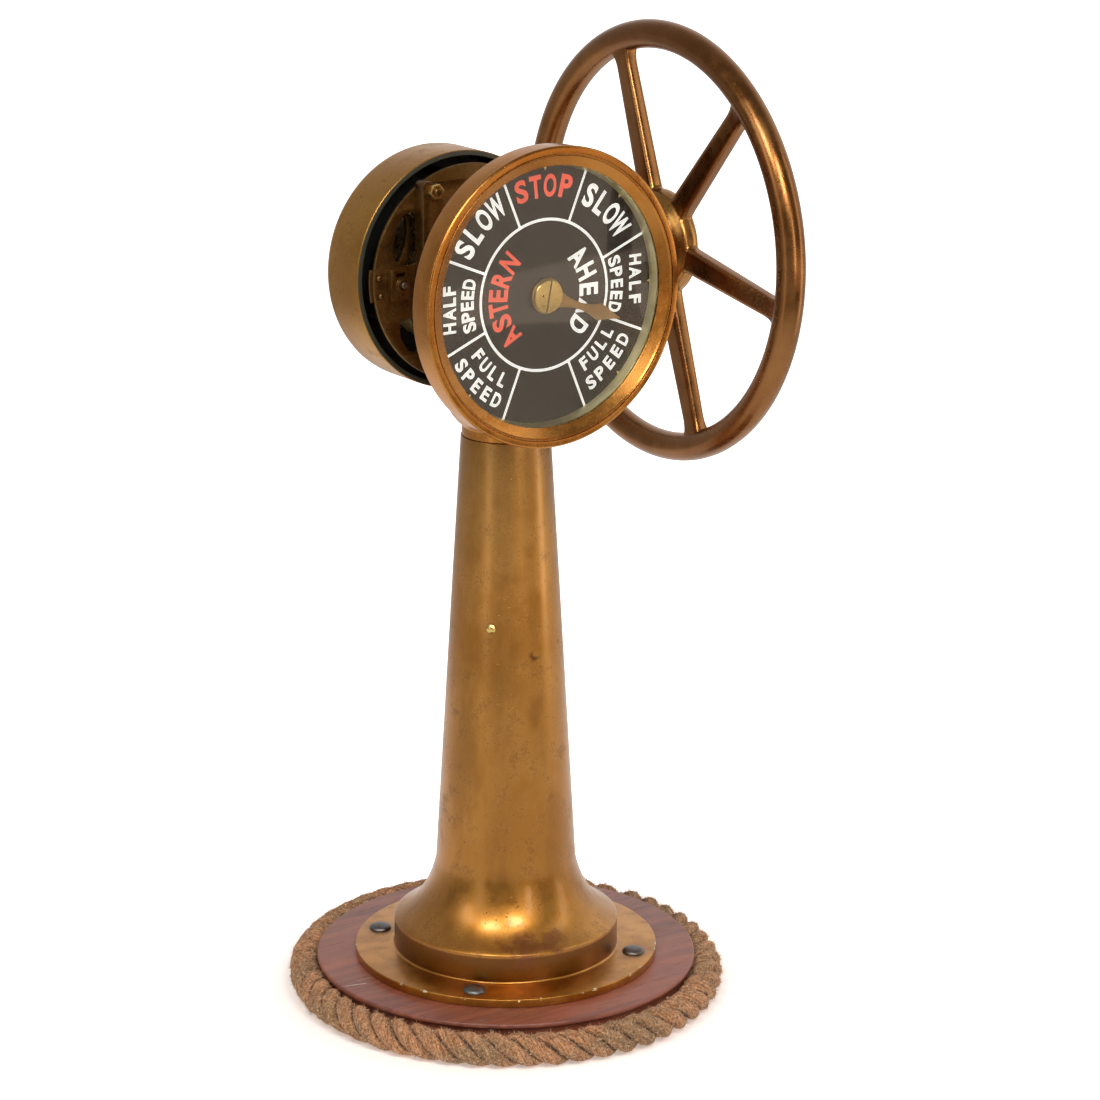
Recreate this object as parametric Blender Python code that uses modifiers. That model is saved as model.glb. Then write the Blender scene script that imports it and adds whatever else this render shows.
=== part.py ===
"""Ship engine telegraph on a pedestal: a single dial, a side handwheel and a rope-trimmed plinth.

Metres, +Z up. The origin is the centre of the plinth's underside. The dial faces -Y and the
handwheel stands on the +X side. Turned pieces of the head are drawn along their own axis and then
laid along -Y (towards the dial) or +X (towards the handwheel), so their heights read as
distances towards the dial or the wheel.
"""

import bmesh
import bpy
from math import cos, pi, radians, sin

# ---------------------------------------------------------------- driving sizes
GAP = 0.0003
ROUND = 36
SMALL_ROUND = 16

PLINTH_R = 0.200
PLINTH_H = 0.039
ROPE_REBATE_R = 0.1955
ROPE_R = 0.0155
ROPE_RING_R = 0.2118
ROPE_LIFT = 0.007
ROPE_GAP_ANGLE = radians(20.0)
ROPE_GAP_WIDTH = radians(2.0)

FLANGE_R = 0.159
FLANGE_TOP = 0.048
FOOT_RING_R = 0.1178
FOOT_RING_TOP = 0.0784
COLUMN_FOOT = (0.0734, 0.144)
COLUMN_TOP = (0.0460, 0.602)
COLUMN_BORE_R = 0.036
BOLT_CIRCLE_R = 0.138
BASE_TURN = radians(-3.0)
PLUG_HEIGHT = 0.4104
PLUG_ANGLE = radians(-139.7)

POINTER_AXIS_Z = 0.757
WHEEL_AXIS_Z = 0.778
BOWL_R = 0.057
BOWL_TOP = 0.634

CASE_R = 0.150
CASE_BACK = 0.058
CASE_FRONT = 0.083
BEZEL_R = 0.1514
BEZEL_FRONT = 0.088
SIGHT_R = 0.1314
DIAL_FACE = 0.0665
WEB_FRONT = CASE_BACK - GAP
WEB_THICK = 0.008

PLATE_R = 0.112
PLATE_FRONT = -0.0705
PLATE_BACK = -0.075
YOKE_X = 0.050
YOKE_BAR = 0.025
YOKE_TOP = 0.101
STUD_HEIGHT = 0.091
COVER_R = 0.1233
COVER_FRONT = -0.084
COVER_BACK = -0.150
COVER_WALL = 0.003
PILLAR_CIRCLE_R = 0.095

SPINDLE_R = 0.004
MITRE_TEETH = 16
MITRE_R = 0.015
SPUR_TEETH = 21
SPUR_R = (WHEEL_AXIS_Z - POINTER_AXIS_Z) / 2
POINTER_ANGLE = radians(110.5)

WHEEL_X = 0.194
RIM_RING_R = 0.2140
RIM_R = 0.0148
SPOKES = 6
FIRST_SPOKE = radians(-19.0)
SHAFT_R = 0.008
SHAFT_END_R = 0.005

STAR_LOBES = 8
STAR_R = 0.0500
STAR_DEPTH = 0.0070
LEVER_PIVOT = (-0.084, -0.002)
NOSE_ANGLE = radians(149.6)
NOSE_R = 0.0035
STRIKER_PIVOT = (0.045, -0.060)

FORWARD = (pi / 2, 0, 0)
SIDEWAYS = (0, pi / 2, 0)

# ---------------------------------------------------------------- scene
for old in list(bpy.data.objects):
    bpy.data.objects.remove(old, do_unlink=True)

PARTS = bpy.data.collections.new("ship_engine_telegraph")
CUTTERS = bpy.data.collections.new("cutters")
bpy.context.scene.collection.children.link(PARTS)
bpy.context.scene.collection.children.link(CUTTERS)

FINISHES = {
    "aged_brass": ((0.36, 0.21, 0.06), 0.38, 1.0),
    "red_brass": ((0.30, 0.13, 0.05), 0.36, 1.0),
    "pale_brass": ((0.66, 0.58, 0.33), 0.32, 1.0),
    "dull_brass": ((0.22, 0.14, 0.05), 0.50, 1.0),
    "steel": ((0.20, 0.20, 0.19), 0.40, 1.0),
    "mahogany": ((0.12, 0.035, 0.025), 0.35, 0.0),
    "coir_rope": ((0.36, 0.22, 0.10), 0.95, 0.0),
    "dial_black": ((0.03, 0.03, 0.028), 0.35, 0.0),
    "clear_glass": ((0.85, 0.90, 0.88), 0.05, 0.0),
}


def finish(name, kind):
    """A material of its own for one piece, from the table of finishes."""
    color, roughness, metallic = FINISHES[kind]
    material = bpy.data.materials.new(f"{name}_{kind}")
    material.use_nodes = True
    shader = material.node_tree.nodes["Principled BSDF"]
    shader.inputs["Base Color"].default_value = (*color, 1.0)
    shader.inputs["Roughness"].default_value = roughness
    shader.inputs["Metallic"].default_value = metallic
    if kind == "clear_glass":
        shader.inputs["Transmission Weight"].default_value = 1.0
    return material


def axis_empty(name, place):
    empty = bpy.data.objects.new(name, None)
    empty.location = place
    PARTS.objects.link(empty)
    return empty


POINTER_AXIS = axis_empty("pointer_axis", (0, 0, POINTER_AXIS_Z))
LAYSHAFT_AXIS = axis_empty("layshaft_axis", (0, 0, WHEEL_AXIS_Z))
WHEEL_AXIS = axis_empty("wheel_axis", (0, 0, WHEEL_AXIS_Z))


def add(name, mesh, kind=None, place=(0, 0, 0), turn=(0, 0, 0), parent=None):
    """A part when kind is given, and otherwise a hidden cutter."""
    obj = bpy.data.objects.new(name, mesh)
    obj.location = place
    obj.rotation_euler = turn
    obj.parent = parent
    if kind:
        PARTS.objects.link(obj)
        mesh.materials.append(finish(name, kind))
        mesh.shade_smooth()
        mesh.set_sharp_from_angle(angle=radians(35))
    else:
        CUTTERS.objects.link(obj)
        obj.hide_render = True
        obj.display_type = "WIRE"
    return obj


def mesh_from(bm, name):
    bmesh.ops.recalc_face_normals(bm, faces=bm.faces)
    mesh = bpy.data.meshes.new(name)
    bm.to_mesh(mesh)
    bm.free()
    return mesh


def arc(center, radius, start, end, steps):
    """Points along an arc, its angles in degrees, as (x, y) pairs."""
    found = []
    for k in range(steps + 1):
        angle = radians(start + (end - start) * k / steps)
        found.append((center[0] + radius * cos(angle), center[1] + radius * sin(angle)))
    return found


def bezier(p0, p1, p2, p3, steps):
    found = []
    for k in range(steps + 1):
        t = k / steps
        weights = ((1 - t) ** 3, 3 * t * (1 - t) ** 2, 3 * t * t * (1 - t), t**3)
        pairs = list(zip(weights, (p0, p1, p2, p3)))
        found.append((sum(w * p[0] for w, p in pairs), sum(w * p[1] for w, p in pairs)))
    return found


def turned(name, profile, kind=None, steps=ROUND, ring=False, **where):
    """A profile of (radius, height) points, listed top to bottom down its outer side, turned by Screw."""
    bm = bmesh.new()
    verts = [bm.verts.new((r, 0, h)) for r, h in profile]
    for a, b in zip(verts, verts[1:] + (verts[:1] if ring else [])):
        bm.edges.new((a, b))
    mesh = bpy.data.meshes.new(name)
    bm.to_mesh(mesh)
    bm.free()
    obj = add(name, mesh, kind, **where)
    screw = obj.modifiers.new("turn", "SCREW")
    screw.steps = screw.render_steps = steps
    screw.use_merge_vertices = True
    screw.merge_threshold = 1e-5
    screw.use_smooth_shade = True
    return obj


def rod(name, radius, low, high, kind=None, steps=SMALL_ROUND, **where):
    return turned(name, [(0, high), (radius, high), (radius, low), (0, low)], kind, steps, **where)


def tube(name, outer, inner, low, high, kind, steps=SMALL_ROUND, **where):
    profile = [(inner, high), (outer, high), (outer, low), (inner, low)]
    return turned(name, profile, kind, steps, ring=True, **where)


def flat(name, outlines, low, high, kind=None, **where):
    """Closed outlines filled as one 2D curve and extruded; an outline inside another is a hole."""
    curve = bpy.data.curves.new(name, "CURVE")
    curve.dimensions = "2D"
    curve.fill_mode = "BOTH"
    curve.extrude = (high - low) / 2
    for outline in outlines:
        spline = curve.splines.new("POLY")
        spline.points.add(len(outline) - 1)
        for point, (x, y) in zip(spline.points, outline):
            point.co = (x, y, 0, 1)
        spline.use_cyclic_u = True
    helper = bpy.data.objects.new(name + "_outline", curve)
    bpy.context.scene.collection.objects.link(helper)
    graph = bpy.context.evaluated_depsgraph_get()
    mesh = bpy.data.meshes.new_from_object(helper.evaluated_get(graph))
    bpy.data.objects.remove(helper)
    bm = bmesh.new()
    bm.from_mesh(mesh)
    bmesh.ops.remove_doubles(bm, verts=bm.verts, dist=1e-6)
    bmesh.ops.translate(bm, verts=bm.verts, vec=(0, 0, (high + low) / 2))
    bmesh.ops.recalc_face_normals(bm, faces=bm.faces)
    bm.to_mesh(mesh)
    bm.free()
    mesh.name = name
    return add(name, mesh, kind, **where)


def block(name, low, high, kind=None, **where):
    bm = bmesh.new()
    bmesh.ops.create_cube(bm, size=1)
    for vert in bm.verts:
        for k in range(3):
            vert.co[k] = low[k] if vert.co[k] < 0 else high[k]
    return add(name, mesh_from(bm, name), kind, **where)


def ball(name, radius, kind=None, **where):
    bm = bmesh.new()
    bmesh.ops.create_uvsphere(bm, u_segments=16, v_segments=8, radius=radius)
    return add(name, mesh_from(bm, name), kind, **where)


def circle(radius, center=(0, 0), steps=SMALL_ROUND):
    return arc(center, radius, 0, 360 * (steps - 1) / steps, steps - 1)


def hexagon(across_flats, center=(0, 0), turn=0.0):
    radius = across_flats / 2 / cos(pi / 6)
    return arc(center, radius, turn, turn + 300, 5)


def boolean(obj, other, operation):
    step = obj.modifiers.new(f"{operation}_{other.name}"[:60], "BOOLEAN")
    step.object = other
    step.operation = operation
    step.solver = "EXACT"
    return obj


def cut(obj, *cutters):
    for cutter in cutters:
        boolean(obj, cutter, "DIFFERENCE")
    return obj


def join(obj, *pieces):
    for piece in pieces:
        boolean(obj, piece, "UNION")
    return obj


# ---------------------------------------------------------------- base
def bolt_places():
    for k in range(4):
        angle = radians(45 + 90 * k) + BASE_TURN
        yield k + 1, (BOLT_CIRCLE_R * cos(angle), BOLT_CIRCLE_R * sin(angle))


def base():
    lip_low = 0.0345
    edge = 0.0045
    profile = [(0, PLINTH_H)]
    profile += arc((PLINTH_R - edge, PLINTH_H - edge), edge, 90, 0, 4)
    profile += [(ROPE_REBATE_R, lip_low - 0.001), (ROPE_REBATE_R, 0.001), (ROPE_REBATE_R - 0.001, 0), (0, 0)]
    plinth = turned("plinth", profile, "mahogany", steps=40)

    profile = [(COLUMN_BORE_R, COLUMN_TOP[1]), (COLUMN_TOP[0] - 0.001, COLUMN_TOP[1])]
    profile += [(COLUMN_TOP[0], COLUMN_TOP[1] - 0.001)]
    profile += bezier(COLUMN_FOOT, (0.0845, 0.0905), (0.112, 0.0855), (FOOT_RING_R, FOOT_RING_TOP), 7)
    profile += [(FOOT_RING_R, FLANGE_TOP + 0.002), (FOOT_RING_R + 0.002, FLANGE_TOP)]
    profile += [(FLANGE_R - 0.001, FLANGE_TOP), (FLANGE_R, FLANGE_TOP - 0.001)]
    profile += [(FLANGE_R, PLINTH_H + GAP), (COLUMN_BORE_R, PLINTH_H + GAP)]
    column = turned("pedestal_column", profile, "aged_brass", ring=True)

    for k, (x, y) in bolt_places():
        cut(column, rod(f"flange_hole_{k}", 0.0063, 0.03, 0.06, steps=12, place=(x, y, 0)))
        cut(plinth, rod(f"plinth_hole_{k}", 0.0063, 0.0117, 0.06, steps=12, place=(x, y, 0)))
        head = FLANGE_TOP + GAP
        profile = [(0, head + 0.0045), (0.005, head + 0.0040), (0.009, head + 0.0025), (0.0115, head)]
        profile += [(0.006, head), (0.006, 0.012), (0, 0.012)]
        turned(f"base_bolt_{k}", profile, "steel", steps=12, place=(x, y, 0))

    # The domed plug stands in a drilled hole, square to the column's side.
    side = COLUMN_FOOT[0] + (COLUMN_TOP[0] - COLUMN_FOOT[0]) * (
        (PLUG_HEIGHT - COLUMN_FOOT[1]) / (COLUMN_TOP[1] - COLUMN_FOOT[1])
    )
    outward = {"place": (0, 0, PLUG_HEIGHT), "turn": (0, pi / 2, PLUG_ANGLE)}
    cut(column, rod("plug_hole", 0.0028, side - 0.012, side + 0.010, steps=12, **outward))
    profile = [(0, side + 0.0024), (0.0022, side + 0.0021), (0.0040, side + 0.0006)]
    profile += [(0.0025, side + 0.0006), (0.0025, side - 0.008), (0, side - 0.008)]
    turned("column_plug", profile, "pale_brass", steps=12, **outward)


def rope():
    """One rope bent round the plinth, a little higher behind, with its two ends nearly meeting."""
    count = 50
    curve = bpy.data.curves.new("rope_border", "CURVE")
    curve.dimensions = "3D"
    curve.bevel_depth = ROPE_R
    curve.bevel_resolution = 2
    curve.use_fill_caps = True
    spline = curve.splines.new("POLY")
    spline.points.add(count)
    for k, point in enumerate(spline.points):
        angle = ROPE_GAP_ANGLE + ROPE_GAP_WIDTH / 2 + (2 * pi - ROPE_GAP_WIDTH) * k / count
        lift = ROPE_LIFT * (1 + sin(angle)) / 2
        point.co = (ROPE_RING_R * cos(angle), ROPE_RING_R * sin(angle), ROPE_R + lift, 1)
    obj = bpy.data.objects.new("rope_border", curve)
    curve.materials.append(finish("rope_border", "coir_rope"))
    PARTS.objects.link(obj)


# ---------------------------------------------------------------- head: frame, case and cover
def head_frame():
    """One casting: spigot, neck and bowl, the front web with its bearing boss, and the rear yoke."""
    spigot_r = COLUMN_BORE_R - GAP
    neck_z = COLUMN_TOP[1] + GAP
    profile = [(0.015, BOWL_TOP), (BOWL_R - 0.001, BOWL_TOP), (BOWL_R, BOWL_TOP - 0.001)]
    profile += bezier((BOWL_R, 0.628), (BOWL_R, 0.619), (0.050, 0.616), (0.045, 0.612), 4)
    profile += [(0.045, neck_z), (spigot_r, neck_z), (spigot_r, 0.575), (0.015, 0.575)]
    frame = turned("head_frame", profile, "dull_brass", steps=24, ring=True)

    drop = BOWL_TOP - 0.014 - POINTER_AXIS_Z
    web = arc((0, 0), 0.062, 270 + 24, 270 + 336, 24)
    web = [(0.0252, drop)] + web + [(-0.0252, drop)]
    web_low = WEB_FRONT - WEB_THICK
    front = {"place": (0, 0, POINTER_AXIS_Z), "turn": FORWARD}
    join(frame, flat("front_web", [web], web_low, WEB_FRONT, **front))

    rise = WHEEL_AXIS_Z - POINTER_AXIS_Z
    boss = arc((0, rise), 0.011, 0, 180, 8) + arc((0, 0), 0.011, 180, 360, 8)
    join(frame, flat("web_boss", [boss], 0.040, web_low + 0.002, **front))

    half = YOKE_BAR / 2
    top = YOKE_TOP
    side = [(0.015, -0.137), (0.029, -0.117), (0.046, -0.095), (YOKE_X + half, -0.066)]
    side += [(YOKE_X + half, top - 0.006), (YOKE_X + half - 0.006, top)]
    side += [(YOKE_X + 0.004, top - 0.001), (YOKE_X - half, top - 0.012), (YOKE_X - half, -0.055)]
    side += [(0.026, -0.082), (0.010, -0.096)]
    outline = side + [(-x, y) for x, y in reversed(side)]
    join(frame, flat("rear_yoke", [outline], PLATE_FRONT + GAP, -0.055, **front))
    join(frame, block("rear_stem", (-0.015, 0.030, 0.620), (0.015, 0.0565, 0.6335)))

    running = SPINDLE_R + GAP
    holes = [(0, 0, running), (0, rise, running)]
    holes += [(x, y, 0.0033) for _, (x, y) in case_screw_places()]
    for k, (x, y, radius) in enumerate(holes):
        place = (x, 0, POINTER_AXIS_Z + y)
        cut(frame, rod(f"web_hole_{k}", radius, 0.035, 0.070, place=place, turn=FORWARD))
    for side_name, x in (("left", -YOKE_X), ("right", YOKE_X)):
        place = (x, 0, POINTER_AXIS_Z + STUD_HEIGHT)
        cut(frame, rod(f"yoke_hole_{side_name}", 0.0043, -0.08, -0.05, place=place, turn=FORWARD))


def case_screw_places():
    for k in range(4):
        angle = radians(45 + 90 * k)
        yield k + 1, (0.046 * cos(angle), 0.046 * sin(angle))


def dial_case():
    here = {"parent": POINTER_AXIS, "turn": FORWARD}
    wall = 0.0035
    profile = [(0.006, CASE_BACK + wall), (CASE_R - wall, CASE_BACK + wall), (CASE_R - wall, CASE_FRONT)]
    profile += [(CASE_R, CASE_FRONT), (CASE_R, CASE_BACK + 0.0015), (CASE_R - 0.0015, CASE_BACK)]
    profile += [(0.006, CASE_BACK)]
    case = turned("dial_case", profile, "aged_brass", ring=True, **here)
    for k, (x, y) in case_screw_places():
        place = (x, 0, y)
        at = {"parent": POINTER_AXIS, "place": place, "turn": FORWARD}
        cut(case, rod(f"case_hole_{k}", 0.0033, 0.05, 0.07, steps=12, **at))
        back = WEB_FRONT - WEB_THICK - GAP
        profile = [(0, CASE_BACK + 0.003), (0.003, CASE_BACK + 0.003), (0.003, back), (0.0055, back)]
        profile += [(0.0055, back - 0.003), (0.0045, back - 0.0036), (0, back - 0.0036)]
        turned(f"case_screw_{k}", profile, "steel", steps=12, **at)

    dial = [circle(0.140, steps=ROUND), circle(0.006)]
    flat("dial_plate", dial, CASE_BACK + wall + GAP, DIAL_FACE, "dial_black", **here)

    seat = DIAL_FACE + GAP
    ring_top = 0.0770
    profile = [(0.132, ring_top), (0.1455, ring_top), (0.1455, ring_top - 0.002)]
    profile += [(0.134, ring_top - 0.002), (0.134, seat), (0.1284, seat)]
    turned("dial_ring", profile, "pale_brass", ring=True, **here)

    flat("dial_glass", [circle(0.1455, steps=ROUND)], ring_top + GAP, 0.0800, "clear_glass", **here)

    lip = 0.0803
    profile = [(0.1425, BEZEL_FRONT)]
    profile += arc((BEZEL_R - 0.0035, BEZEL_FRONT - 0.0035), 0.0035, 90, 0, 4)
    profile += [(BEZEL_R, CASE_FRONT + GAP), (0.146, CASE_FRONT + GAP), (0.146, lip)]
    profile += [(SIGHT_R, lip), (SIGHT_R, lip + 0.001)]
    turned("bezel", profile, "aged_brass", ring=True, **here)


def plate_holes():
    """Openings of the mechanism plate, as outlines in its own plane, both sides alike."""
    kidney = [(-0.0600, 0.0180), (-0.0600, 0.0640), (-0.0640, 0.0680), (-0.0760, 0.0680)]
    kidney += [(-0.0830, 0.0560), (-0.0870, 0.0440), (-0.0890, 0.0320), (-0.0860, 0.0220)]
    kidney += [(-0.0790, 0.0160), (-0.0680, 0.0150)]
    lower = [(-0.0660, -0.0400), (-0.0820, -0.0440), (-0.0800, -0.0600), (-0.0700, -0.0740)]
    lower += [(-0.0600, -0.0760), (-0.0600, -0.0560)]
    mirrored = [[(-x, y) for x, y in reversed(outline)] for outline in (kidney, lower)]
    round_holes = [circle(SPINDLE_R + GAP)]
    round_holes += [circle(0.0033, place, 12) for place in (LEVER_PIVOT, STRIKER_PIVOT)]
    round_holes += [circle(0.0043, (x, STUD_HEIGHT), 12) for x in (-YOKE_X, YOKE_X)]
    round_holes += [circle(0.0020, place, 12) for place in clip_screw_places()]
    return [kidney, lower] + mirrored + round_holes


def clip_screw_places():
    return [(-0.1055, 0.0055), (-0.1035, -0.0132)]


def mechanism_plate():
    here = {"parent": POINTER_AXIS, "turn": FORWARD}
    outlines = [circle(PLATE_R, steps=48)] + plate_holes()
    flat("mechanism_plate", outlines, PLATE_BACK, PLATE_FRONT, "aged_brass", **here)

    # A small clip behind the plate's left edge, held by two screws.
    back = PLATE_BACK - GAP
    clip = arc((0, 0), 0.1145, 173, 190, 5) + arc((0, 0), 0.0985, 190, 173, 4)
    clip_holes = [circle(0.0020, place, 12) for place in clip_screw_places()]
    flat("cover_clip", [clip] + clip_holes, back - 0.002, back, "aged_brass", **here)
    for k, (x, z) in enumerate(clip_screw_places(), 1):
        head = PLATE_FRONT + GAP
        profile = [(0, head + 0.0018), (0.0022, head + 0.0014), (0.0032, head), (0.0017, head)]
        profile += [(0.0017, back - 0.003), (0, back - 0.003)]
        at = {"parent": POINTER_AXIS, "place": (x, 0, z), "turn": FORWARD}
        turned(f"clip_screw_{k}", profile, "dull_brass", steps=12, **at)

    for side, x in (("left", -YOKE_X), ("right", YOKE_X)):
        at = {"parent": POINTER_AXIS, "place": (x, 0, STUD_HEIGHT), "turn": FORWARD}
        stud_back = PLATE_BACK - GAP
        profile = [(0, -0.0450), (0.0032, -0.0450), (0.0040, -0.0458), (0.0040, stud_back)]
        profile += [(0.0070, stud_back), (0.0070, stud_back - 0.003), (0, stud_back - 0.003)]
        turned(f"frame_stud_{side}", profile, "dull_brass", steps=16, **at)
        nut = [hexagon(0.0140, turn=10), circle(0.0043, steps=16)]
        flat(f"frame_nut_{side}", nut, -0.0547, -0.0475, "aged_brass", **at)


def rear_cover():
    here = {"parent": POINTER_AXIS, "turn": FORWARD}
    corner = 0.013
    inner_r = COVER_R - COVER_WALL
    inner_corner = corner - COVER_WALL
    center = (COVER_R - corner, COVER_BACK + corner)
    profile = [(COVER_R - 0.005, COVER_FRONT), (COVER_R - 0.0008, COVER_FRONT)]
    profile += [(COVER_R, COVER_FRONT - 0.0008)]
    profile += arc(center, corner, 0, -90, 4)
    profile += [(0, COVER_BACK), (0, COVER_BACK + COVER_WALL)]
    profile += arc(center, inner_corner, -90, 0, 3)
    profile += [(inner_r, COVER_FRONT - 0.004), (COVER_R - 0.005, COVER_FRONT - 0.004)]
    cover = turned("rear_cover", profile, "aged_brass", ring=True, **here)
    for k in range(3):
        angle = radians(90 + 120 * k)
        place = (PILLAR_CIRCLE_R * cos(angle), 0, PILLAR_CIRCLE_R * sin(angle))
        at = {"parent": POINTER_AXIS, "place": place, "turn": FORWARD}
        cut(cover, rod(f"cover_hole_{k}", 0.0028, -0.16, -0.14, steps=12, **at))
        low = COVER_BACK + COVER_WALL + GAP
        rod(f"cover_pillar_{k + 1}", 0.0055, low, PLATE_BACK - GAP, "dull_brass", steps=12, **at)
        back = COVER_BACK - GAP
        profile = [(0, COVER_BACK + COVER_WALL), (0.0025, COVER_BACK + COVER_WALL), (0.0025, back)]
        profile += [(0.0060, back), (0.0048, back - 0.0022), (0, back - 0.0026)]
        turned(f"cover_screw_{k + 1}", profile, "pale_brass", steps=12, **at)


# ---------------------------------------------------------------- pointer and its gears
def spur_outline(teeth, pitch_r, tooth=0.40):
    """Trapezoid teeth, thinner than their spaces so that a pair runs with backlash."""
    module = 2 * pitch_r / teeth
    tip = pitch_r + 0.80 * module
    root = pitch_r - 1.05 * module
    step = 2 * pi / teeth
    points = []
    for k in range(teeth):
        for radius, part in ((root, -0.62), (tip, -0.26), (tip, 0.26), (root, 0.62)):
            angle = k * step + part * tooth * step
            points.append((radius * cos(angle), radius * sin(angle)))
    return points


def turned_by(points, angle):
    return [(x * cos(angle) - y * sin(angle), x * sin(angle) + y * cos(angle)) for x, y in points]


def mitre_gear(name, phase, hub_high, bore, kind, **where):
    """A 45 degree bevel gear by formula. Its cone's apex is the local origin and it grows along +Z."""
    back = MITRE_R
    front = MITRE_R * 0.64
    step = 2 * pi / MITRE_TEETH
    module = 2 * MITRE_R / MITRE_TEETH
    bm = bmesh.new()

    def ring(radii, height):
        made = []
        for k in range(MITRE_TEETH):
            for which, part in ((0, -0.25), (1, -0.11), (1, 0.11), (0, 0.25)):
                angle = phase + (k + part) * step
                radius, lift = radii[which]
                made.append(bm.verts.new((radius * cos(angle), radius * sin(angle), height + lift)))
        return made

    def teeth_at(scale):
        lean = 0.7071 * module * scale / MITRE_R
        root = (scale - 1.00 * lean, 1.00 * lean)
        tip = (scale + 0.72 * lean, -0.72 * lean)
        return ring((root, tip), scale)

    def plain(radius, height):
        made = []
        for k in range(MITRE_TEETH * 4):
            angle = phase + (k // 4 + (-0.25, -0.11, 0.11, 0.25)[k % 4]) * step
            made.append(bm.verts.new((radius * cos(angle), radius * sin(angle), height)))
        return made

    lean_back = 0.7071 * module
    hub_r = MITRE_R * 0.62
    rings = [
        plain(bore, front + 0.0012),
        teeth_at(front),
        teeth_at(back),
        plain(back - 1.3 * lean_back, back + 1.3 * lean_back),
        plain(hub_r, back + 1.6 * lean_back),
        plain(hub_r, hub_high),
        plain(bore, hub_high),
    ]
    for ring_a, ring_b in zip(rings, rings[1:] + rings[:1]):
        count = len(ring_a)
        for k in range(count):
            after = (k + 1) % count
            bm.faces.new((ring_a[k], ring_b[k], ring_b[after], ring_a[after]))
    return add(name, mesh_from(bm, name), kind, **where)


def pointer_train():
    here = {"parent": POINTER_AXIS, "turn": FORWARD}
    rod("pointer_spindle", SPINDLE_R, -0.0900, 0.0718, "steel", **here)

    blade = [(0.0172, 0.0078), (0.030, 0.0052), (0.044, 0.0042), (0.058, 0.0062), (0.0685, 0.0090)]
    blade += [(0.082, 0.0050), (0.0965, 0.0)]
    blade += [(x, -y) for x, y in reversed(blade[:-1])]
    hub = arc((0, 0), 0.0188, 26, 334, 16)
    outline = blade + hub[::-1]
    lean = pi / 2 - POINTER_ANGLE
    outline = turned_by(outline, lean)
    flat("pointer", [outline, circle(SPINDLE_R + GAP)], 0.0695, 0.0718, "aged_brass", **here)

    profile = [(0, 0.0748), (0.0150, 0.0748), (0.0174, 0.0734), (0.0174, 0.0721), (0, 0.0721)]
    screw = turned("hub_screw", profile, "aged_brass", steps=32, **here)
    slot_turn = radians(-11)
    slot = [(-0.0007, -0.02), (0.0007, -0.02), (0.0007, 0.02), (-0.0007, 0.02)]
    cut(screw, flat("screw_slot", [turned_by(slot, slot_turn)], 0.0736, 0.0760, **here))
    lock = {"parent": POINTER_AXIS, "place": (-0.0069, 0, 0.0009), "turn": FORWARD}
    cut(screw, rod("lock_pin_hole", 0.0011, 0.0738, 0.0760, steps=12, **lock))

    gear = [spur_outline(SPUR_TEETH, SPUR_R), circle(SPINDLE_R + GAP, steps=16)]
    flat("spindle_gear", gear, 0.0310, 0.0380, "pale_brass", **here)

    # At rest the pointer stands between two orders, so the nose is that far round from a valley.
    valley = NOSE_ANGLE - (POINTER_ANGLE % (2 * pi / STAR_LOBES))
    lobes = []
    for k in range(64):
        angle = 2 * pi * k / 64
        reach = STAR_R - STAR_DEPTH / 2 - STAR_DEPTH / 2 * cos(STAR_LOBES * (angle - valley))
        lobes.append((reach * cos(angle), reach * sin(angle)))
    flat("star_wheel", [lobes, circle(SPINDLE_R + GAP, steps=16)], -0.0850, -0.0790, "dull_brass", **here)

    along = {"parent": LAYSHAFT_AXIS, "turn": FORWARD}
    rod("layshaft", SPINDLE_R, 0.0088, 0.0570, "steel", **along)
    # Straight above its axis the lower gear is a quarter step past a tooth; the upper one has a space there.
    phase = 3 * pi / 2 + 0.75 * 2 * pi / SPUR_TEETH
    upper = turned_by(spur_outline(SPUR_TEETH, SPUR_R), phase)
    flat("layshaft_gear", [upper, circle(SPINDLE_R + GAP, steps=16)], 0.0310, 0.0380, "pale_brass", **along)
    mitre_gear("bevel_gear", 0.0, 0.0240, SPINDLE_R + GAP, "pale_brass", **along)


# ---------------------------------------------------------------- handwheel train
def spoke(k):
    """One tapered spoke, standing up from the hub in the wheel's plane, then swung to its place."""
    inner, outer = 0.030, 0.206
    bm = bmesh.new()
    bmesh.ops.create_cube(bm, size=1)
    for vert in bm.verts:
        outside = vert.co.z > 0
        width, thick = (0.0205, 0.0150) if outside else (0.0270, 0.0165)
        vert.co = (vert.co.x * thick, vert.co.y * width, outer if outside else inner)
    mesh = mesh_from(bm, f"spoke_{k}")
    swing = FIRST_SPOKE + k * 2 * pi / SPOKES
    piece = add(f"spoke_{k}", mesh, parent=WHEEL_AXIS, place=(WHEEL_X, 0, 0), turn=(swing, 0, 0))
    bevel = piece.modifiers.new("round_edges", "BEVEL")
    bevel.width = 0.0035
    bevel.segments = 1
    return piece


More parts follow.
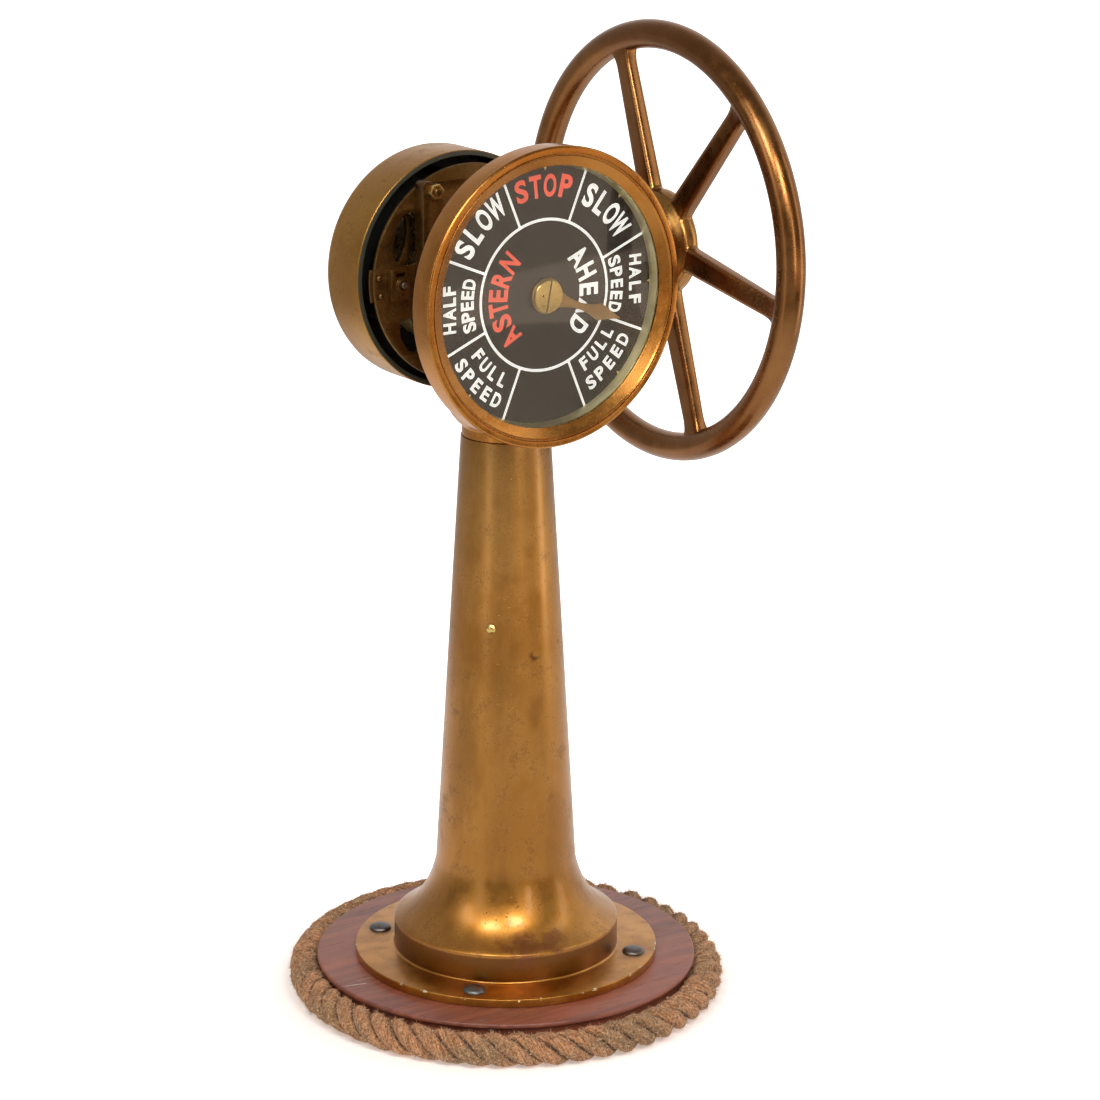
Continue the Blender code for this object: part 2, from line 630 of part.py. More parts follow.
def wheel_train():
    along = {"parent": WHEEL_AXIS, "turn": SIDEWAYS}
    bore = SHAFT_R + GAP
    at_wheel = {"parent": WHEEL_AXIS, "place": (WHEEL_X, 0, 0), "turn": SIDEWAYS}

    profile = [(bore, 0.012), (0.027, 0.012), (0.030, 0.009), (0.052, 0.0085)]
    profile += [(0.056, 0.005), (0.056, -0.005)]
    profile += bezier((0.052, -0.0085), (0.044, -0.011), (0.037, -0.020), (0.034, -0.042), 4)
    profile += [(bore, -0.042)]
    wheel = turned("handwheel", profile, "red_brass", steps=32, ring=True, **at_wheel)
    bm = bmesh.new()
    rings, sides = 64, 10
    verts = []
    for a in range(rings):
        swing = 2 * pi * a / rings
        row = []
        for b in range(sides):
            turn = 2 * pi * b / sides
            reach = RIM_RING_R + RIM_R * cos(turn)
            row.append(bm.verts.new((reach * cos(swing), reach * sin(swing), RIM_R * sin(turn))))
        verts.append(row)
    for a in range(rings):
        for b in range(sides):
            c, d = (a + 1) % rings, (b + 1) % sides
            bm.faces.new((verts[a][b], verts[c][b], verts[c][d], verts[a][d]))
    rim = add("wheel_rim", mesh_from(bm, "wheel_rim"), **at_wheel)
    for k in range(SPOKES):
        join(wheel, spoke(k))
    join(wheel, rim)

    profile = [(0, WHEEL_X + 0.027), (SHAFT_R - 0.001, WHEEL_X + 0.027), (SHAFT_R, WHEEL_X + 0.026)]
    profile += [(SHAFT_R, 0.031), (SHAFT_END_R, 0.031), (SHAFT_END_R, -0.052), (0, -0.052)]
    turned("wheel_shaft", profile, "steel", steps=SMALL_ROUND, **along)

    nut = [hexagon(0.030, turn=8), circle(bore, steps=SMALL_ROUND)]
    low = WHEEL_X + 0.0123
    flat("wheel_nut", nut, low, low + 0.0110, "aged_brass", **along)

    thin_bore = SHAFT_END_R + GAP
    half_tooth = pi / MITRE_TEETH
    mitre_gear("bevel_pinion", half_tooth, 0.0240, thin_bore, "pale_brass", **along)
    teeth = [spur_outline(16, 0.0220, 0.30), circle(thin_bore, steps=16)]
    flat("chain_sprocket", teeth, -0.0270, -0.0220, "steel", **along)
    tube("shaft_collar", 0.0110, thin_bore, -0.0570 + 0.0060, -0.0467, "steel", **along)


def bearings():
    low = BOWL_TOP + GAP - WHEEL_AXIS_Z
    for name, x_low, x_high, radius, shaft in (
        ("shaft_bearing", -0.0460, -0.0320, 0.0130, SHAFT_END_R),
        ("shaft_housing", 0.0360, 0.0540, 0.0190, SHAFT_R),
    ):
        # The pedestal's outline is drawn in the plane across the shaft: local x is down, local y is back.
        foot = 0.0170
        outline = [(-low, -foot), (-low, foot), (-low - 0.006, foot), (-low - 0.012, radius * 0.62)]
        outline += [(0.010, radius * 0.62)]
        outline += arc((0, 0), radius, 40, 320, 12)
        outline += [(0.010, -radius * 0.62), (-low - 0.012, -radius * 0.62), (-low - 0.006, -foot)]
        pedestal = flat(name, [outline], x_low, x_high, "dull_brass", parent=WHEEL_AXIS, turn=SIDEWAYS)
        if name == "shaft_housing":
            sleeve = rod("housing_sleeve", 0.0160, 0.0500, 0.1460, parent=WHEEL_AXIS, turn=SIDEWAYS)
            join(pedestal, sleeve)
        cut(pedestal, rod(name + "_bore", shaft + GAP, -0.1, 0.2, parent=WHEEL_AXIS, turn=SIDEWAYS))


# ---------------------------------------------------------------- detent and gong
def detent():
    here = {"parent": POINTER_AXIS, "turn": FORWARD}
    px, pz = LEVER_PIVOT
    low = PLATE_FRONT + GAP
    frame = [(-0.0958, 0.0140), (-0.0958, -0.0180), (-0.0740, -0.0180), (-0.0740, 0.0140)]
    window = [(-0.0905, 0.0100), (-0.0905, 0.0060), (-0.0790, 0.0060), (-0.0790, 0.0100)]
    bracket = flat("detent_bracket", [frame, window], low, low + 0.0075, "aged_brass", **here)
    at_pivot = {"parent": POINTER_AXIS, "place": (px, 0, pz), "turn": FORWARD}
    join(bracket, rod("bracket_boss", 0.0065, low, low + 0.0120, **at_pivot))
    cut(bracket, rod("bracket_bore", 0.0033, -0.1, 0.0, **at_pivot))

    profile = [(0, low + 0.0140), (0.0030, low + 0.0140), (0.0030, -0.0920), (0, -0.0920)]
    turned("detent_pin", profile, "steel", steps=16, **at_pivot)

    # The hooked lever lies behind the plate; its nose stands just off the star wheel's lobes.
    rim = [(0.0085, 0.004), (0.0145, 0.012), (0.0175, 0.020), (0.0215, 0.030), (0.0235, 0.044)]
    rim += [(0.0235, 0.058), (0.0215, 0.066), (0.0160, 0.0705), (0.0090, 0.0700), (0.0060, 0.0660)]
    rim += [(0.0100, 0.0655), (0.0150, 0.0655), (0.0170, 0.0620), (0.0178, 0.0520), (0.0165, 0.0400)]
    rim += [(0.0120, 0.0280), (0.0060, 0.0180), (-0.0020, 0.0090)]
    rim += arc((0, 0), 0.0090, 120, 300, 8)
    lever = flat("detent_lever", [rim, circle(0.0033, steps=16)], -0.0850, -0.0790, "dull_brass", **at_pivot)
    reach = STAR_R + NOSE_R + 0.0006
    nose = (reach * cos(NOSE_ANGLE), reach * sin(NOSE_ANGLE))
    nose_at = (nose[0] - px, nose[1] - pz)
    arm = [(0.0190, 0.0300), (0.0230, 0.0420)]
    arm += [(nose_at[0], nose_at[1] + NOSE_R), (nose_at[0], nose_at[1] - NOSE_R)]
    join(lever, flat("lever_arm", [arm], -0.0848, -0.0792, **at_pivot))
    nose_place = {"parent": POINTER_AXIS, "place": (nose[0], 0, nose[1]), "turn": FORWARD}
    join(lever, rod("lever_nose", NOSE_R, -0.0846, -0.0794, steps=16, **nose_place))

    # A coil round the pin's end presses the lever in; it starts and ends clear of the lever and the pin.
    count = 40
    curve = bpy.data.curves.new("detent_spring", "CURVE")
    curve.dimensions = "3D"
    curve.bevel_depth = 0.0005
    curve.bevel_resolution = 1
    curve.use_fill_caps = True
    spline = curve.splines.new("POLY")
    spline.points.add(count)
    for k, point in enumerate(spline.points):
        angle = radians(100) + 2 * pi * 3.25 * k / count
        point.co = (0.0045 * cos(angle), 0.0045 * sin(angle), -0.0862 - 0.0052 * k / count, 1)
    spring = bpy.data.objects.new("detent_spring", curve)
    spring.parent = POINTER_AXIS
    spring.location = at_pivot["place"]
    spring.rotation_euler = FORWARD
    curve.materials.append(finish("detent_spring", "steel"))
    PARTS.objects.link(spring)


def gong_set():
    here = {"parent": POINTER_AXIS, "turn": FORWARD}
    profile = [(0.0043, -0.1300), (0.060, -0.1295)]
    profile += bezier((0.064, -0.1285), (0.073, -0.1265), (0.0755, -0.120), (0.0762, -0.108), 3)
    profile += [(0.0785, -0.108)]
    profile += bezier((0.0780, -0.121), (0.0775, -0.129), (0.0720, -0.132), (0.060, -0.1325), 3)
    profile += [(0.0043, -0.1330)]
    turned("gong", profile, "pale_brass", steps=28, ring=True, **here)
    low = COVER_BACK + COVER_WALL + GAP
    profile = [(0, -0.1240), (0.0040, -0.1240), (0.0040, -0.1336), (0.0090, -0.1336), (0.0090, low), (0, low)]
    turned("gong_post", profile, "dull_brass", **here)
    nut = [hexagon(0.0140), circle(0.0043, steps=16)]
    flat("gong_nut", nut, -0.1297, -0.1250, "pale_brass", **here)

    at_pivot = {"parent": POINTER_AXIS, "place": (STRIKER_PIVOT[0], 0, STRIKER_PIVOT[1]), "turn": FORWARD}
    profile = [(0, -0.0708), (0.0030, -0.0708), (0.0030, -0.1040), (0, -0.1040)]
    turned("striker_post", profile, "steel", steps=16, **at_pivot)
    arm = arc((0, 0), 0.0065, 130, 370, 10) + [(0.0198, 0.0460), (0.0142, 0.0480)]
    striker = flat("striker", [arm, circle(0.0033, steps=16)], -0.1000, -0.0960, "steel", **at_pivot)
    head_at = {"parent": POINTER_AXIS, "place": (STRIKER_PIVOT[0] + 0.017, 0, STRIKER_PIVOT[1] + 0.047)}
    tail = [(-0.0100, 0.0190), (-0.0152, 0.0151), (-0.0052, 0.0010), (0.0040, 0.0050)]
    join(striker, flat("striker_tail", [tail], -0.0998, -0.0962, **at_pivot))
    trip_at = {"parent": POINTER_AXIS, "place": (STRIKER_PIVOT[0] - 0.0126, 0, STRIKER_PIVOT[1] + 0.0168)}
    join(striker, rod("trip_pin", 0.0030, -0.0975, -0.0800, steps=12, turn=FORWARD, **trip_at))
    join(striker, rod("hammer_neck", 0.0030, -0.1090, -0.0970, steps=12, turn=FORWARD, **head_at))
    head_at["place"] = (head_at["place"][0], 0.1100, head_at["place"][2])
    join(striker, ball("hammer_head", 0.0065, **head_at))


base()
rope()
head_frame()
dial_case()
mechanism_plate()
rear_cover()
pointer_train()
wheel_train()
bearings()
detent()
gong_set()
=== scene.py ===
"""Looks of a ship's engine telegraph: aged brass head and pedestal, an enamelled dial behind glass,
a red-bronze handwheel, a mahogany plinth and a coir rope laid round it."""

from math import atan2, ceil, cos, pi, radians, sin, sqrt, tan

import bmesh
import bpy
from mathutils import Euler, Matrix, Vector


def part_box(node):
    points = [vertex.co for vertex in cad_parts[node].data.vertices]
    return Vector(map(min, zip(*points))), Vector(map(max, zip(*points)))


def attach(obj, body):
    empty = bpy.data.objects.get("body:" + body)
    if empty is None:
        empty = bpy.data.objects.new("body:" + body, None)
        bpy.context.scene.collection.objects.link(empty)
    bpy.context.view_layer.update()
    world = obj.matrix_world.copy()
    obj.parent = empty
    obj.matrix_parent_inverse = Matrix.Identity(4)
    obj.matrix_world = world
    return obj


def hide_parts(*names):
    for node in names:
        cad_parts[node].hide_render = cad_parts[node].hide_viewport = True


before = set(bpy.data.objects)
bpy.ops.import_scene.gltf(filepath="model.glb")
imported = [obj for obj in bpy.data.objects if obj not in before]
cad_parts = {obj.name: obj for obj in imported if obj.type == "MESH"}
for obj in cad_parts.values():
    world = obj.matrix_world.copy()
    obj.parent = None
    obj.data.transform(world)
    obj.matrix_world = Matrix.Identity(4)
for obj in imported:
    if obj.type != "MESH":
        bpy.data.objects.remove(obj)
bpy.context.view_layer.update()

MM = 0.001


def middle(node):
    """The middle of a CAD node's box, in metres."""
    low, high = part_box(node)
    return (low + high) / 2


def turned_frame(place, turn):
    """A local frame at this place: its Z is the axis that a piece is turned about."""
    return Matrix.Translation(place) @ Euler(turn).to_matrix().to_4x4()


POINTER_Z = middle("pointer_spindle").z
WHEEL_Z = middle("wheel_shaft").z
# The rim's plane lies this far outward of the middle of the handwheel's box.
RIM_OFFSET = 0.0138
WHEEL_X = middle("handwheel").x + RIM_OFFSET
UPRIGHT = Matrix.Identity(4)
# The dial's frame looks forward, its local Y is up; the wheel's looks right, its local X is down.
FORWARD = (pi / 2, 0, 0)
DIAL = turned_frame((0, 0, POINTER_Z), FORWARD)
WHEEL = turned_frame((WHEEL_X, 0, WHEEL_Z), (0, pi / 2, 0))


# ---------------------------------------------------------------- node helpers
class Nodes:
    """Short ways to add and link nodes in one tree."""

    def __init__(self, tree):
        self.tree = tree

    def add(self, kind, inputs=None, **settings):
        node = self.tree.nodes.new(kind)
        for name, value in settings.items():
            setattr(node, name, value)
        for name, value in (inputs or {}).items():
            self.set(node, name, value)
        return node

    def set(self, node, name, value):
        socket = node.inputs[name]
        if isinstance(value, bpy.types.NodeSocket):
            self.tree.links.new(value, socket)
        else:
            socket.default_value = value

    def math(self, operation, *values, clamp=False):
        inputs = dict(enumerate(values))
        return self.add("ShaderNodeMath", inputs, operation=operation, use_clamp=clamp).outputs[0]

    def vector(self, operation, *values):
        return self.add("ShaderNodeVectorMath", dict(enumerate(values)), operation=operation).outputs[0]

    def scaled(self, direction, factor):
        inputs = {0: direction, "Scale": factor}
        return self.add("ShaderNodeVectorMath", inputs, operation="SCALE").outputs[0]

    def part(self, where, axis):
        return self.add("ShaderNodeSeparateXYZ", {"Vector": where}).outputs[axis]

    def between(self, value, low, high):
        """0 below low, 1 above high, smooth between them; high under low turns it round."""
        inputs = {"Value": value, "From Min": low, "From Max": high}
        return self.add("ShaderNodeMapRange", inputs, interpolation_type="SMOOTHSTEP").outputs[0]

    def mix(self, factor, a, b):
        node = self.add("ShaderNodeMix", data_type="RGBA")
        for index, value in ((0, factor), (6, a), (7, b)):
            if isinstance(value, bpy.types.NodeSocket):
                self.tree.links.new(value, node.inputs[index])
            else:
                node.inputs[index].default_value = value
        return node.outputs[2]

    def noise(self, where, scale, detail=3.0, roughness=0.55, distortion=0.0):
        inputs = {"Vector": where, "Scale": scale, "Detail": detail, "Roughness": roughness}
        inputs["Distortion"] = distortion
        return self.add("ShaderNodeTexNoise", inputs).outputs["Fac"]

    def vector_length(self, where):
        return self.add("ShaderNodeVectorMath", {0: where}, operation="LENGTH").outputs["Value"]

    def dot(self, where, direction):
        node = self.add("ShaderNodeVectorMath", {0: where, 1: direction}, operation="DOT_PRODUCT")
        return node.outputs["Value"]

    def stretched(self, where, scale, turn=(0, 0, 0)):
        node = self.add("ShaderNodeMapping", {"Vector": where, "Scale": scale, "Rotation": turn})
        return node.outputs[0]

    def object_place(self):
        return self.add("ShaderNodeTexCoord").outputs["Object"]


def group(name, inputs, outputs):
    """A shader node group with these named sockets: the tree, its Nodes, its inputs and its end."""
    tree = bpy.data.node_groups.new(name, "ShaderNodeTree")
    for label, kind, value in inputs:
        socket = tree.interface.new_socket(label, in_out="INPUT", socket_type=f"NodeSocket{kind}")
        socket.default_value = value
    for label, kind in outputs:
        tree.interface.new_socket(label, in_out="OUTPUT", socket_type=f"NodeSocket{kind}")
    nodes = Nodes(tree)
    return tree, nodes, nodes.add("NodeGroupInput").outputs, nodes.add("NodeGroupOutput")


def rgb(r, g, b):
    return (r, g, b, 1.0)


def patina_group():
    """Old brass: cloudy tone, brown mottling, pin pits, fine scratches and brighter worn edges."""
    tree, n, given, end = group(
        "patina",
        [
            ("Bright", "Color", rgb(0.5, 0.3, 0.1)),
            ("Middle", "Color", rgb(0.4, 0.2, 0.06)),
            ("Dark", "Color", rgb(0.1, 0.05, 0.02)),
            ("Clouds", "Float", 9.0),
            ("Dirt", "Float", 0.4),
            ("Pits", "Float", 0.5),
            ("Gloss", "Float", 0.36),
            ("Edge", "Float", 0.0012),
        ],
        [("Color", "Color"), ("Roughness", "Float"), ("Height", "Float")],
    )
    where = n.object_place()
    clouds = n.noise(where, given["Clouds"], 3.0, 0.5)
    mottle = n.noise(where, n.math("MULTIPLY", given["Clouds"], 6.0), 6.0, 0.65)
    speck = n.noise(where, 420.0, 2.0, 0.6)
    tone = n.math("ADD", n.math("MULTIPLY", clouds, 0.6), n.math("MULTIPLY", mottle, 0.4))
    color = n.mix(n.between(tone, 0.36, 0.64), given["Middle"], given["Bright"])
    dirty = n.between(n.math("MULTIPLY_ADD", mottle, 0.65, n.math("MULTIPLY", speck, 0.35)), 0.50, 0.66)
    color = n.mix(n.math("MULTIPLY", dirty, given["Dirt"]), color, given["Dark"])

    # Pin pits: small dark dots, gathered where the clouds are low.
    cells = n.add("ShaderNodeTexVoronoi", {"Vector": where, "Scale": 190.0, "Randomness": 1.0})
    dots = n.between(cells.outputs["Distance"], 0.20, 0.08)
    few = n.between(n.noise(where, 31.0, 3.0), 0.50, 0.66)
    pits = n.math("MULTIPLY", n.math("MULTIPLY", dots, few), given["Pits"])
    color = n.mix(n.math("MULTIPLY", pits, 0.8), color, given["Dark"])

    # Fine scratches, in two crossing directions.
    lines = []
    for turn, seed in (((0.2, 0.1, 0.3), 620.0), ((1.1, 0.6, 0.2), 540.0)):
        streak = n.noise(n.stretched(where, (seed, seed, 14.0), turn), 1.0, 1.0)
        lines.append(n.between(streak, 0.70, 0.76))
    scratch = n.math("MAXIMUM", *lines)
    color = n.mix(n.math("MULTIPLY", scratch, 0.30), color, given["Bright"])

    soft = n.add("ShaderNodeBevel", {"Radius": given["Edge"]}, samples=6).outputs[0]
    crisp = n.add("ShaderNodeNewGeometry").outputs["Normal"]
    edge = n.between(n.dot(soft, crisp), 0.985, 0.90)
    edge = n.math("MULTIPLY", edge, n.between(n.noise(where, 90.0, 4.0), 0.40, 0.58))
    color = n.mix(n.math("MULTIPLY", edge, 0.50), color, n.mix(0.35, given["Bright"], rgb(0.9, 0.75, 0.5)))

    rough = n.math("MULTIPLY_ADD", n.math("SUBTRACT", mottle, 0.5), 0.30, given["Gloss"])
    rough = n.math("MULTIPLY_ADD", dirty, n.math("MULTIPLY", given["Dirt"], 0.18), rough)
    rough = n.math("MULTIPLY_ADD", pits, 0.25, rough)
    rough = n.math("MULTIPLY_ADD", edge, -0.08, rough, clamp=True)
    height = n.math("MULTIPLY_ADD", pits, -1.0, n.math("MULTIPLY", speck, 0.10))
    height = n.math("MULTIPLY_ADD", scratch, -0.12, height)
    height = n.math("MULTIPLY_ADD", mottle, 0.35, height)
    n.set(end, "Color", color)
    n.set(end, "Roughness", rough)
    n.set(end, "Height", height)
    return tree


def steel_wear_group():
    """Handled steel: uneven gloss and faint rusty spots."""
    tree, n, given, end = group(
        "steel_wear",
        [("Steel", "Color", rgb(0.2, 0.2, 0.2)), ("Rust", "Color", rgb(0.15, 0.1, 0.06)),
         ("Gloss", "Float", 0.4)],
        [("Color", "Color"), ("Roughness", "Float"), ("Height", "Float")],
    )
    where = n.object_place()
    wear = n.noise(where, 160.0, 5.0, 0.65)
    spots = n.between(n.noise(where, 60.0, 4.0), 0.52, 0.66)
    n.set(end, "Color", n.mix(n.math("MULTIPLY", spots, 0.6), given["Steel"], given["Rust"]))
    n.set(end, "Roughness", n.math("MULTIPLY_ADD", wear, 0.30, n.math("SUBTRACT", given["Gloss"], 0.15)))
    n.set(end, "Height", wear)
    return tree


def old_enamel_group():
    """Old paint: a faint cloudy mottle in its tone and gloss, and a fine skin."""
    tree, n, given, end = group(
        "old_enamel",
        [("Fresh", "Color", rgb(0.9, 0.9, 0.9)), ("Worn", "Color", rgb(0.8, 0.8, 0.8)),
         ("Gloss", "Float", 0.4)],
        [("Color", "Color"), ("Roughness", "Float"), ("Height", "Float")],
    )
    where = n.object_place()
    cloud = n.noise(where, 55.0, 5.0, 0.6)
    n.set(end, "Color", n.mix(n.between(cloud, 0.35, 0.65), given["Worn"], given["Fresh"]))
    n.set(end, "Roughness", n.math("MULTIPLY_ADD", cloud, 0.14, n.math("SUBTRACT", given["Gloss"], 0.07)))
    n.set(end, "Height", n.noise(where, 900.0, 2.0))
    return tree


PATINA = patina_group()
STEEL_WEAR = steel_wear_group()
OLD_ENAMEL = old_enamel_group()


def new_material(name):
    material = bpy.data.materials.new(name)
    material.use_nodes = True
    nodes = Nodes(material.node_tree)
    return material, nodes, material.node_tree.nodes["Principled BSDF"]


def bump(n, shader, height, distance, strength=1.0):
    node = n.add("ShaderNodeBump", {"Height": height, "Distance": distance, "Strength": strength})
    n.set(shader, "Normal", node.outputs[0])


def aged_brass(name, tones, clouds=9.0, dirt=0.4, pits=0.5, gloss=0.36, edge=0.0012, lacquer=0.35):
    """Old brass in three tones without its relief: the material, its Nodes, its shader and its patina."""
    material, n, shader = new_material(name)
    bright, plain, dark = (rgb(*tone) for tone in tones)
    values = {"Bright": bright, "Middle": plain, "Dark": dark, "Clouds": clouds, "Dirt": dirt, "Pits": pits}
    aged = n.add("ShaderNodeGroup", {**values, "Gloss": gloss, "Edge": edge}, node_tree=PATINA)
    n.set(shader, "Metallic", 1.0)
    n.set(shader, "Base Color", aged.outputs["Color"])
    n.set(shader, "Roughness", aged.outputs["Roughness"])
    n.set(shader, "Coat Weight", lacquer)
    n.set(shader, "Coat Roughness", 0.16)
    n.set(shader, "Coat IOR", 1.5)
    return material, n, shader, aged


def brass(name, tones, **values):
    material, n, shader, aged = aged_brass(name, tones, **values)
    bump(n, shader, aged.outputs["Height"], BRASS_RELIEF)
    return material


def spot(n, where, center, radius, ragged=0.5):
    """A ragged round mark on the surface: 1 inside, fading to 0 at the radius."""
    away = n.add("ShaderNodeVectorMath", {0: where, 1: center}, operation="DISTANCE").outputs["Value"]
    wander = n.math("MULTIPLY", n.math("SUBTRACT", n.noise(where, 70.0, 5.0, 0.6), 0.5),
                    ragged * radius * 2)
    return n.between(n.math("ADD", away, wander), radius, radius * 0.35)


BRASS_RELIEF = 0.25 * MM
# The bright, plain and dark tones of each brass.
GOLD = ((0.60, 0.290, 0.068), (0.45, 0.190, 0.030), (0.12, 0.042, 0.008))
BROWN = ((0.54, 0.235, 0.052), (0.40, 0.150, 0.024), (0.12, 0.040, 0.008))
RED = ((0.31, 0.140, 0.046), (0.205, 0.080, 0.021), (0.07, 0.024, 0.007))
# A dull brass for the parts inside the head, made darker still as painted shade for the head's shadow over
# them.
DULL_AND_SHADED = ((0.22, 0.12, 0.034), (0.115, 0.058, 0.014), (0.022, 0.012, 0.004))
OLIVE = ((0.52, 0.260, 0.048), (0.38, 0.172, 0.024), (0.10, 0.042, 0.007))
TAN = ((0.52, 0.32, 0.11), (0.42, 0.23, 0.07), (0.14, 0.07, 0.02))
YELLOW = ((0.78, 0.58, 0.20), (0.66, 0.46, 0.13), (0.20, 0.10, 0.03))
PALE = ((0.86, 0.74, 0.42), (0.74, 0.60, 0.30), (0.30, 0.18, 0.07))
CREAM = ((0.95, 0.86, 0.50), (0.86, 0.74, 0.38), (0.35, 0.22, 0.08))
OILED = ((0.62, 0.42, 0.15), (0.48, 0.28, 0.09), (0.08, 0.04, 0.015))


def column_brass():
    """The pedestal's brass, browner towards the top as painted shade under the head, dark round its foot
    ring, with a stain on the flare.
    """
    material, n, shader, aged = aged_brass("pedestal_brass", GOLD, clouds=7.0, dirt=0.45, pits=0.9)
    where = n.object_place()
    z = n.part(where, "Z")
    color = aged.outputs["Color"]
    # Painted shade: the brass turns darker and olive towards the top, where the head shades the column.
    head_shade = n.math("MULTIPLY", n.between(z, 0.40, 0.60), 0.45)
    color = n.mix(head_shade, color, rgb(0.26, 0.15, 0.045))
    smear = n.between(n.noise(n.stretched(where, (16.0, 16.0, 5.0)), 1.0, 4.0, 0.6), 0.47, 0.62)
    low = n.math("MULTIPLY", n.between(z, 0.46, 0.30), n.between(z, 0.09, 0.14))
    worn = n.math("MULTIPLY_ADD", smear, 0.34, n.math("MULTIPLY", low, 0.30))
    color = n.mix(worn, color, rgb(0.26, 0.105, 0.012))
    ring = n.math("MULTIPLY", n.between(z, 0.0765, 0.0745), n.between(z, 0.0495, 0.0500))
    color = n.mix(n.math("MULTIPLY", ring, 0.88), color, rgb(0.17, 0.060, 0.004))
    flange = n.math("MULTIPLY", n.between(z, 0.0495, 0.0484), 0.45)
    color = n.mix(flange, color, rgb(0.62, 0.26, 0.022))
    grime = n.math("MULTIPLY", n.between(z, 0.0500, 0.0484),
                   n.between(n.noise(where, 40.0, 5.0), 0.40, 0.60))
    color = n.mix(n.math("MULTIPLY", grime, 0.35), color, rgb(0.22, 0.085, 0.010))
    stain = n.math("MAXIMUM", spot(n, where, (-0.046, -0.098, 0.089), 0.024, 1.4),
                   spot(n, where, (-0.014, -0.108, 0.087), 0.018, 1.4))
    color = n.mix(n.math("MULTIPLY", stain, 0.55), color, rgb(0.20, 0.060, 0.030))
    for k in range(1, 5):
        at = middle(f"base_bolt_{k}")
        halo = spot(n, where, (at.x, at.y, 0.048), 0.026, 0.5)
        color = n.mix(n.math("MULTIPLY", halo, 0.50), color, rgb(0.15, 0.055, 0.012))
    plug = spot(n, where, middle("column_plug"), 0.0078, 0.1)
    color = n.mix(n.math("MULTIPLY", plug, 0.75), color, rgb(0.05, 0.022, 0.007))
    # A small crescent dent in the side, and chips along the flange's edge.
    outer = spot(n, where, (-0.0046, -0.0592, 0.3815), 0.0085, 0.15)
    inner = spot(n, where, (-0.0020, -0.0592, 0.3842), 0.0080, 0.15)
    dent = n.math("MULTIPLY", outer, n.math("SUBTRACT", 1.0, inner))
    color = n.mix(n.math("MULTIPLY", dent, 0.85), color, rgb(0.06, 0.022, 0.006))
    radius = n.vector_length(n.vector("MULTIPLY", where, (1, 1, 0)))
    rim = n.math("MULTIPLY", n.between(radius, 0.1570, 0.1586), n.between(z, 0.0455, 0.0472))
    chips = n.math("MULTIPLY", rim, n.between(n.noise(where, 95.0, 3.0), 0.60, 0.64))
    color = n.mix(chips, color, rgb(0.75, 0.62, 0.42))
    n.set(shader, "Base Color", color)
    height = n.math("SUBTRACT", aged.outputs["Height"], n.math("MULTIPLY", n.math("ADD", dent, chips), 3.0))
    bump(n, shader, height, 0.00035)
    return material


def wheel_bronze():
    """The handwheel's red bronze, more golden at its hub, where hands wear it less."""
    values = {"dirt": 0.15, "pits": 0.30, "gloss": 0.28, "lacquer": 0.12}
    material, n, shader, aged = aged_brass("wheel_bronze", RED, **values)
    from_axis = n.vector("SUBTRACT", n.object_place(), (0, 0, WHEEL_Z))
    radius = n.vector_length(n.vector("MULTIPLY", from_axis, (0, 1, 1)))
    hub = n.math("MULTIPLY", n.between(radius, 0.075, 0.035), 0.75)
    n.set(shader, "Base Color", n.mix(hub, aged.outputs["Color"], rgb(0.56, 0.29, 0.075)))
    bump(n, shader, aged.outputs["Height"], BRASS_RELIEF)
    return material


def steel(name, color, gloss=0.42):
    material, n, shader = new_material(name)
    rust = rgb(color[0] * 0.75, color[1] * 0.45, color[2] * 0.30)
    wear = n.add("ShaderNodeGroup", {"Steel": rgb(*color), "Rust": rust, "Gloss": gloss},
                 node_tree=STEEL_WEAR)
    n.set(shader, "Metallic", 1.0)
    n.set(shader, "Base Color", wear.outputs["Color"])
    n.set(shader, "Roughness", wear.outputs["Roughness"])
    bump(n, shader, wear.outputs["Height"], 0.0002)
    return material


def scratch_line(n, where, start, end):
    """A thin broken scratch between two (x, y) places: 1 on it, 0 off it."""
    start, end = Vector((*start, 0)), Vector((*end, 0))
    along = (end - start).normalized()
    rel = n.vector("SUBTRACT", where, start)
    run = n.dot(rel, along)
    wander = n.math("MULTIPLY", n.math("SUBTRACT", n.noise(where, 130.0, 2.0), 0.5), 0.0016)
    off = n.math("ABSOLUTE", n.math("ADD", n.dot(rel, Vector((-along.y, along.x, 0))), wander))
    length = (end - start).length
    inside = n.math("MULTIPLY", n.between(run, 0.0, 0.001), n.between(run, length, length - 0.002))
    broken = n.between(n.noise(where, 260.0, 2.0), 0.40, 0.50)
    return n.math("MULTIPLY", n.math("MULTIPLY", n.between(off, 0.0009, 0.0003), inside), broken)


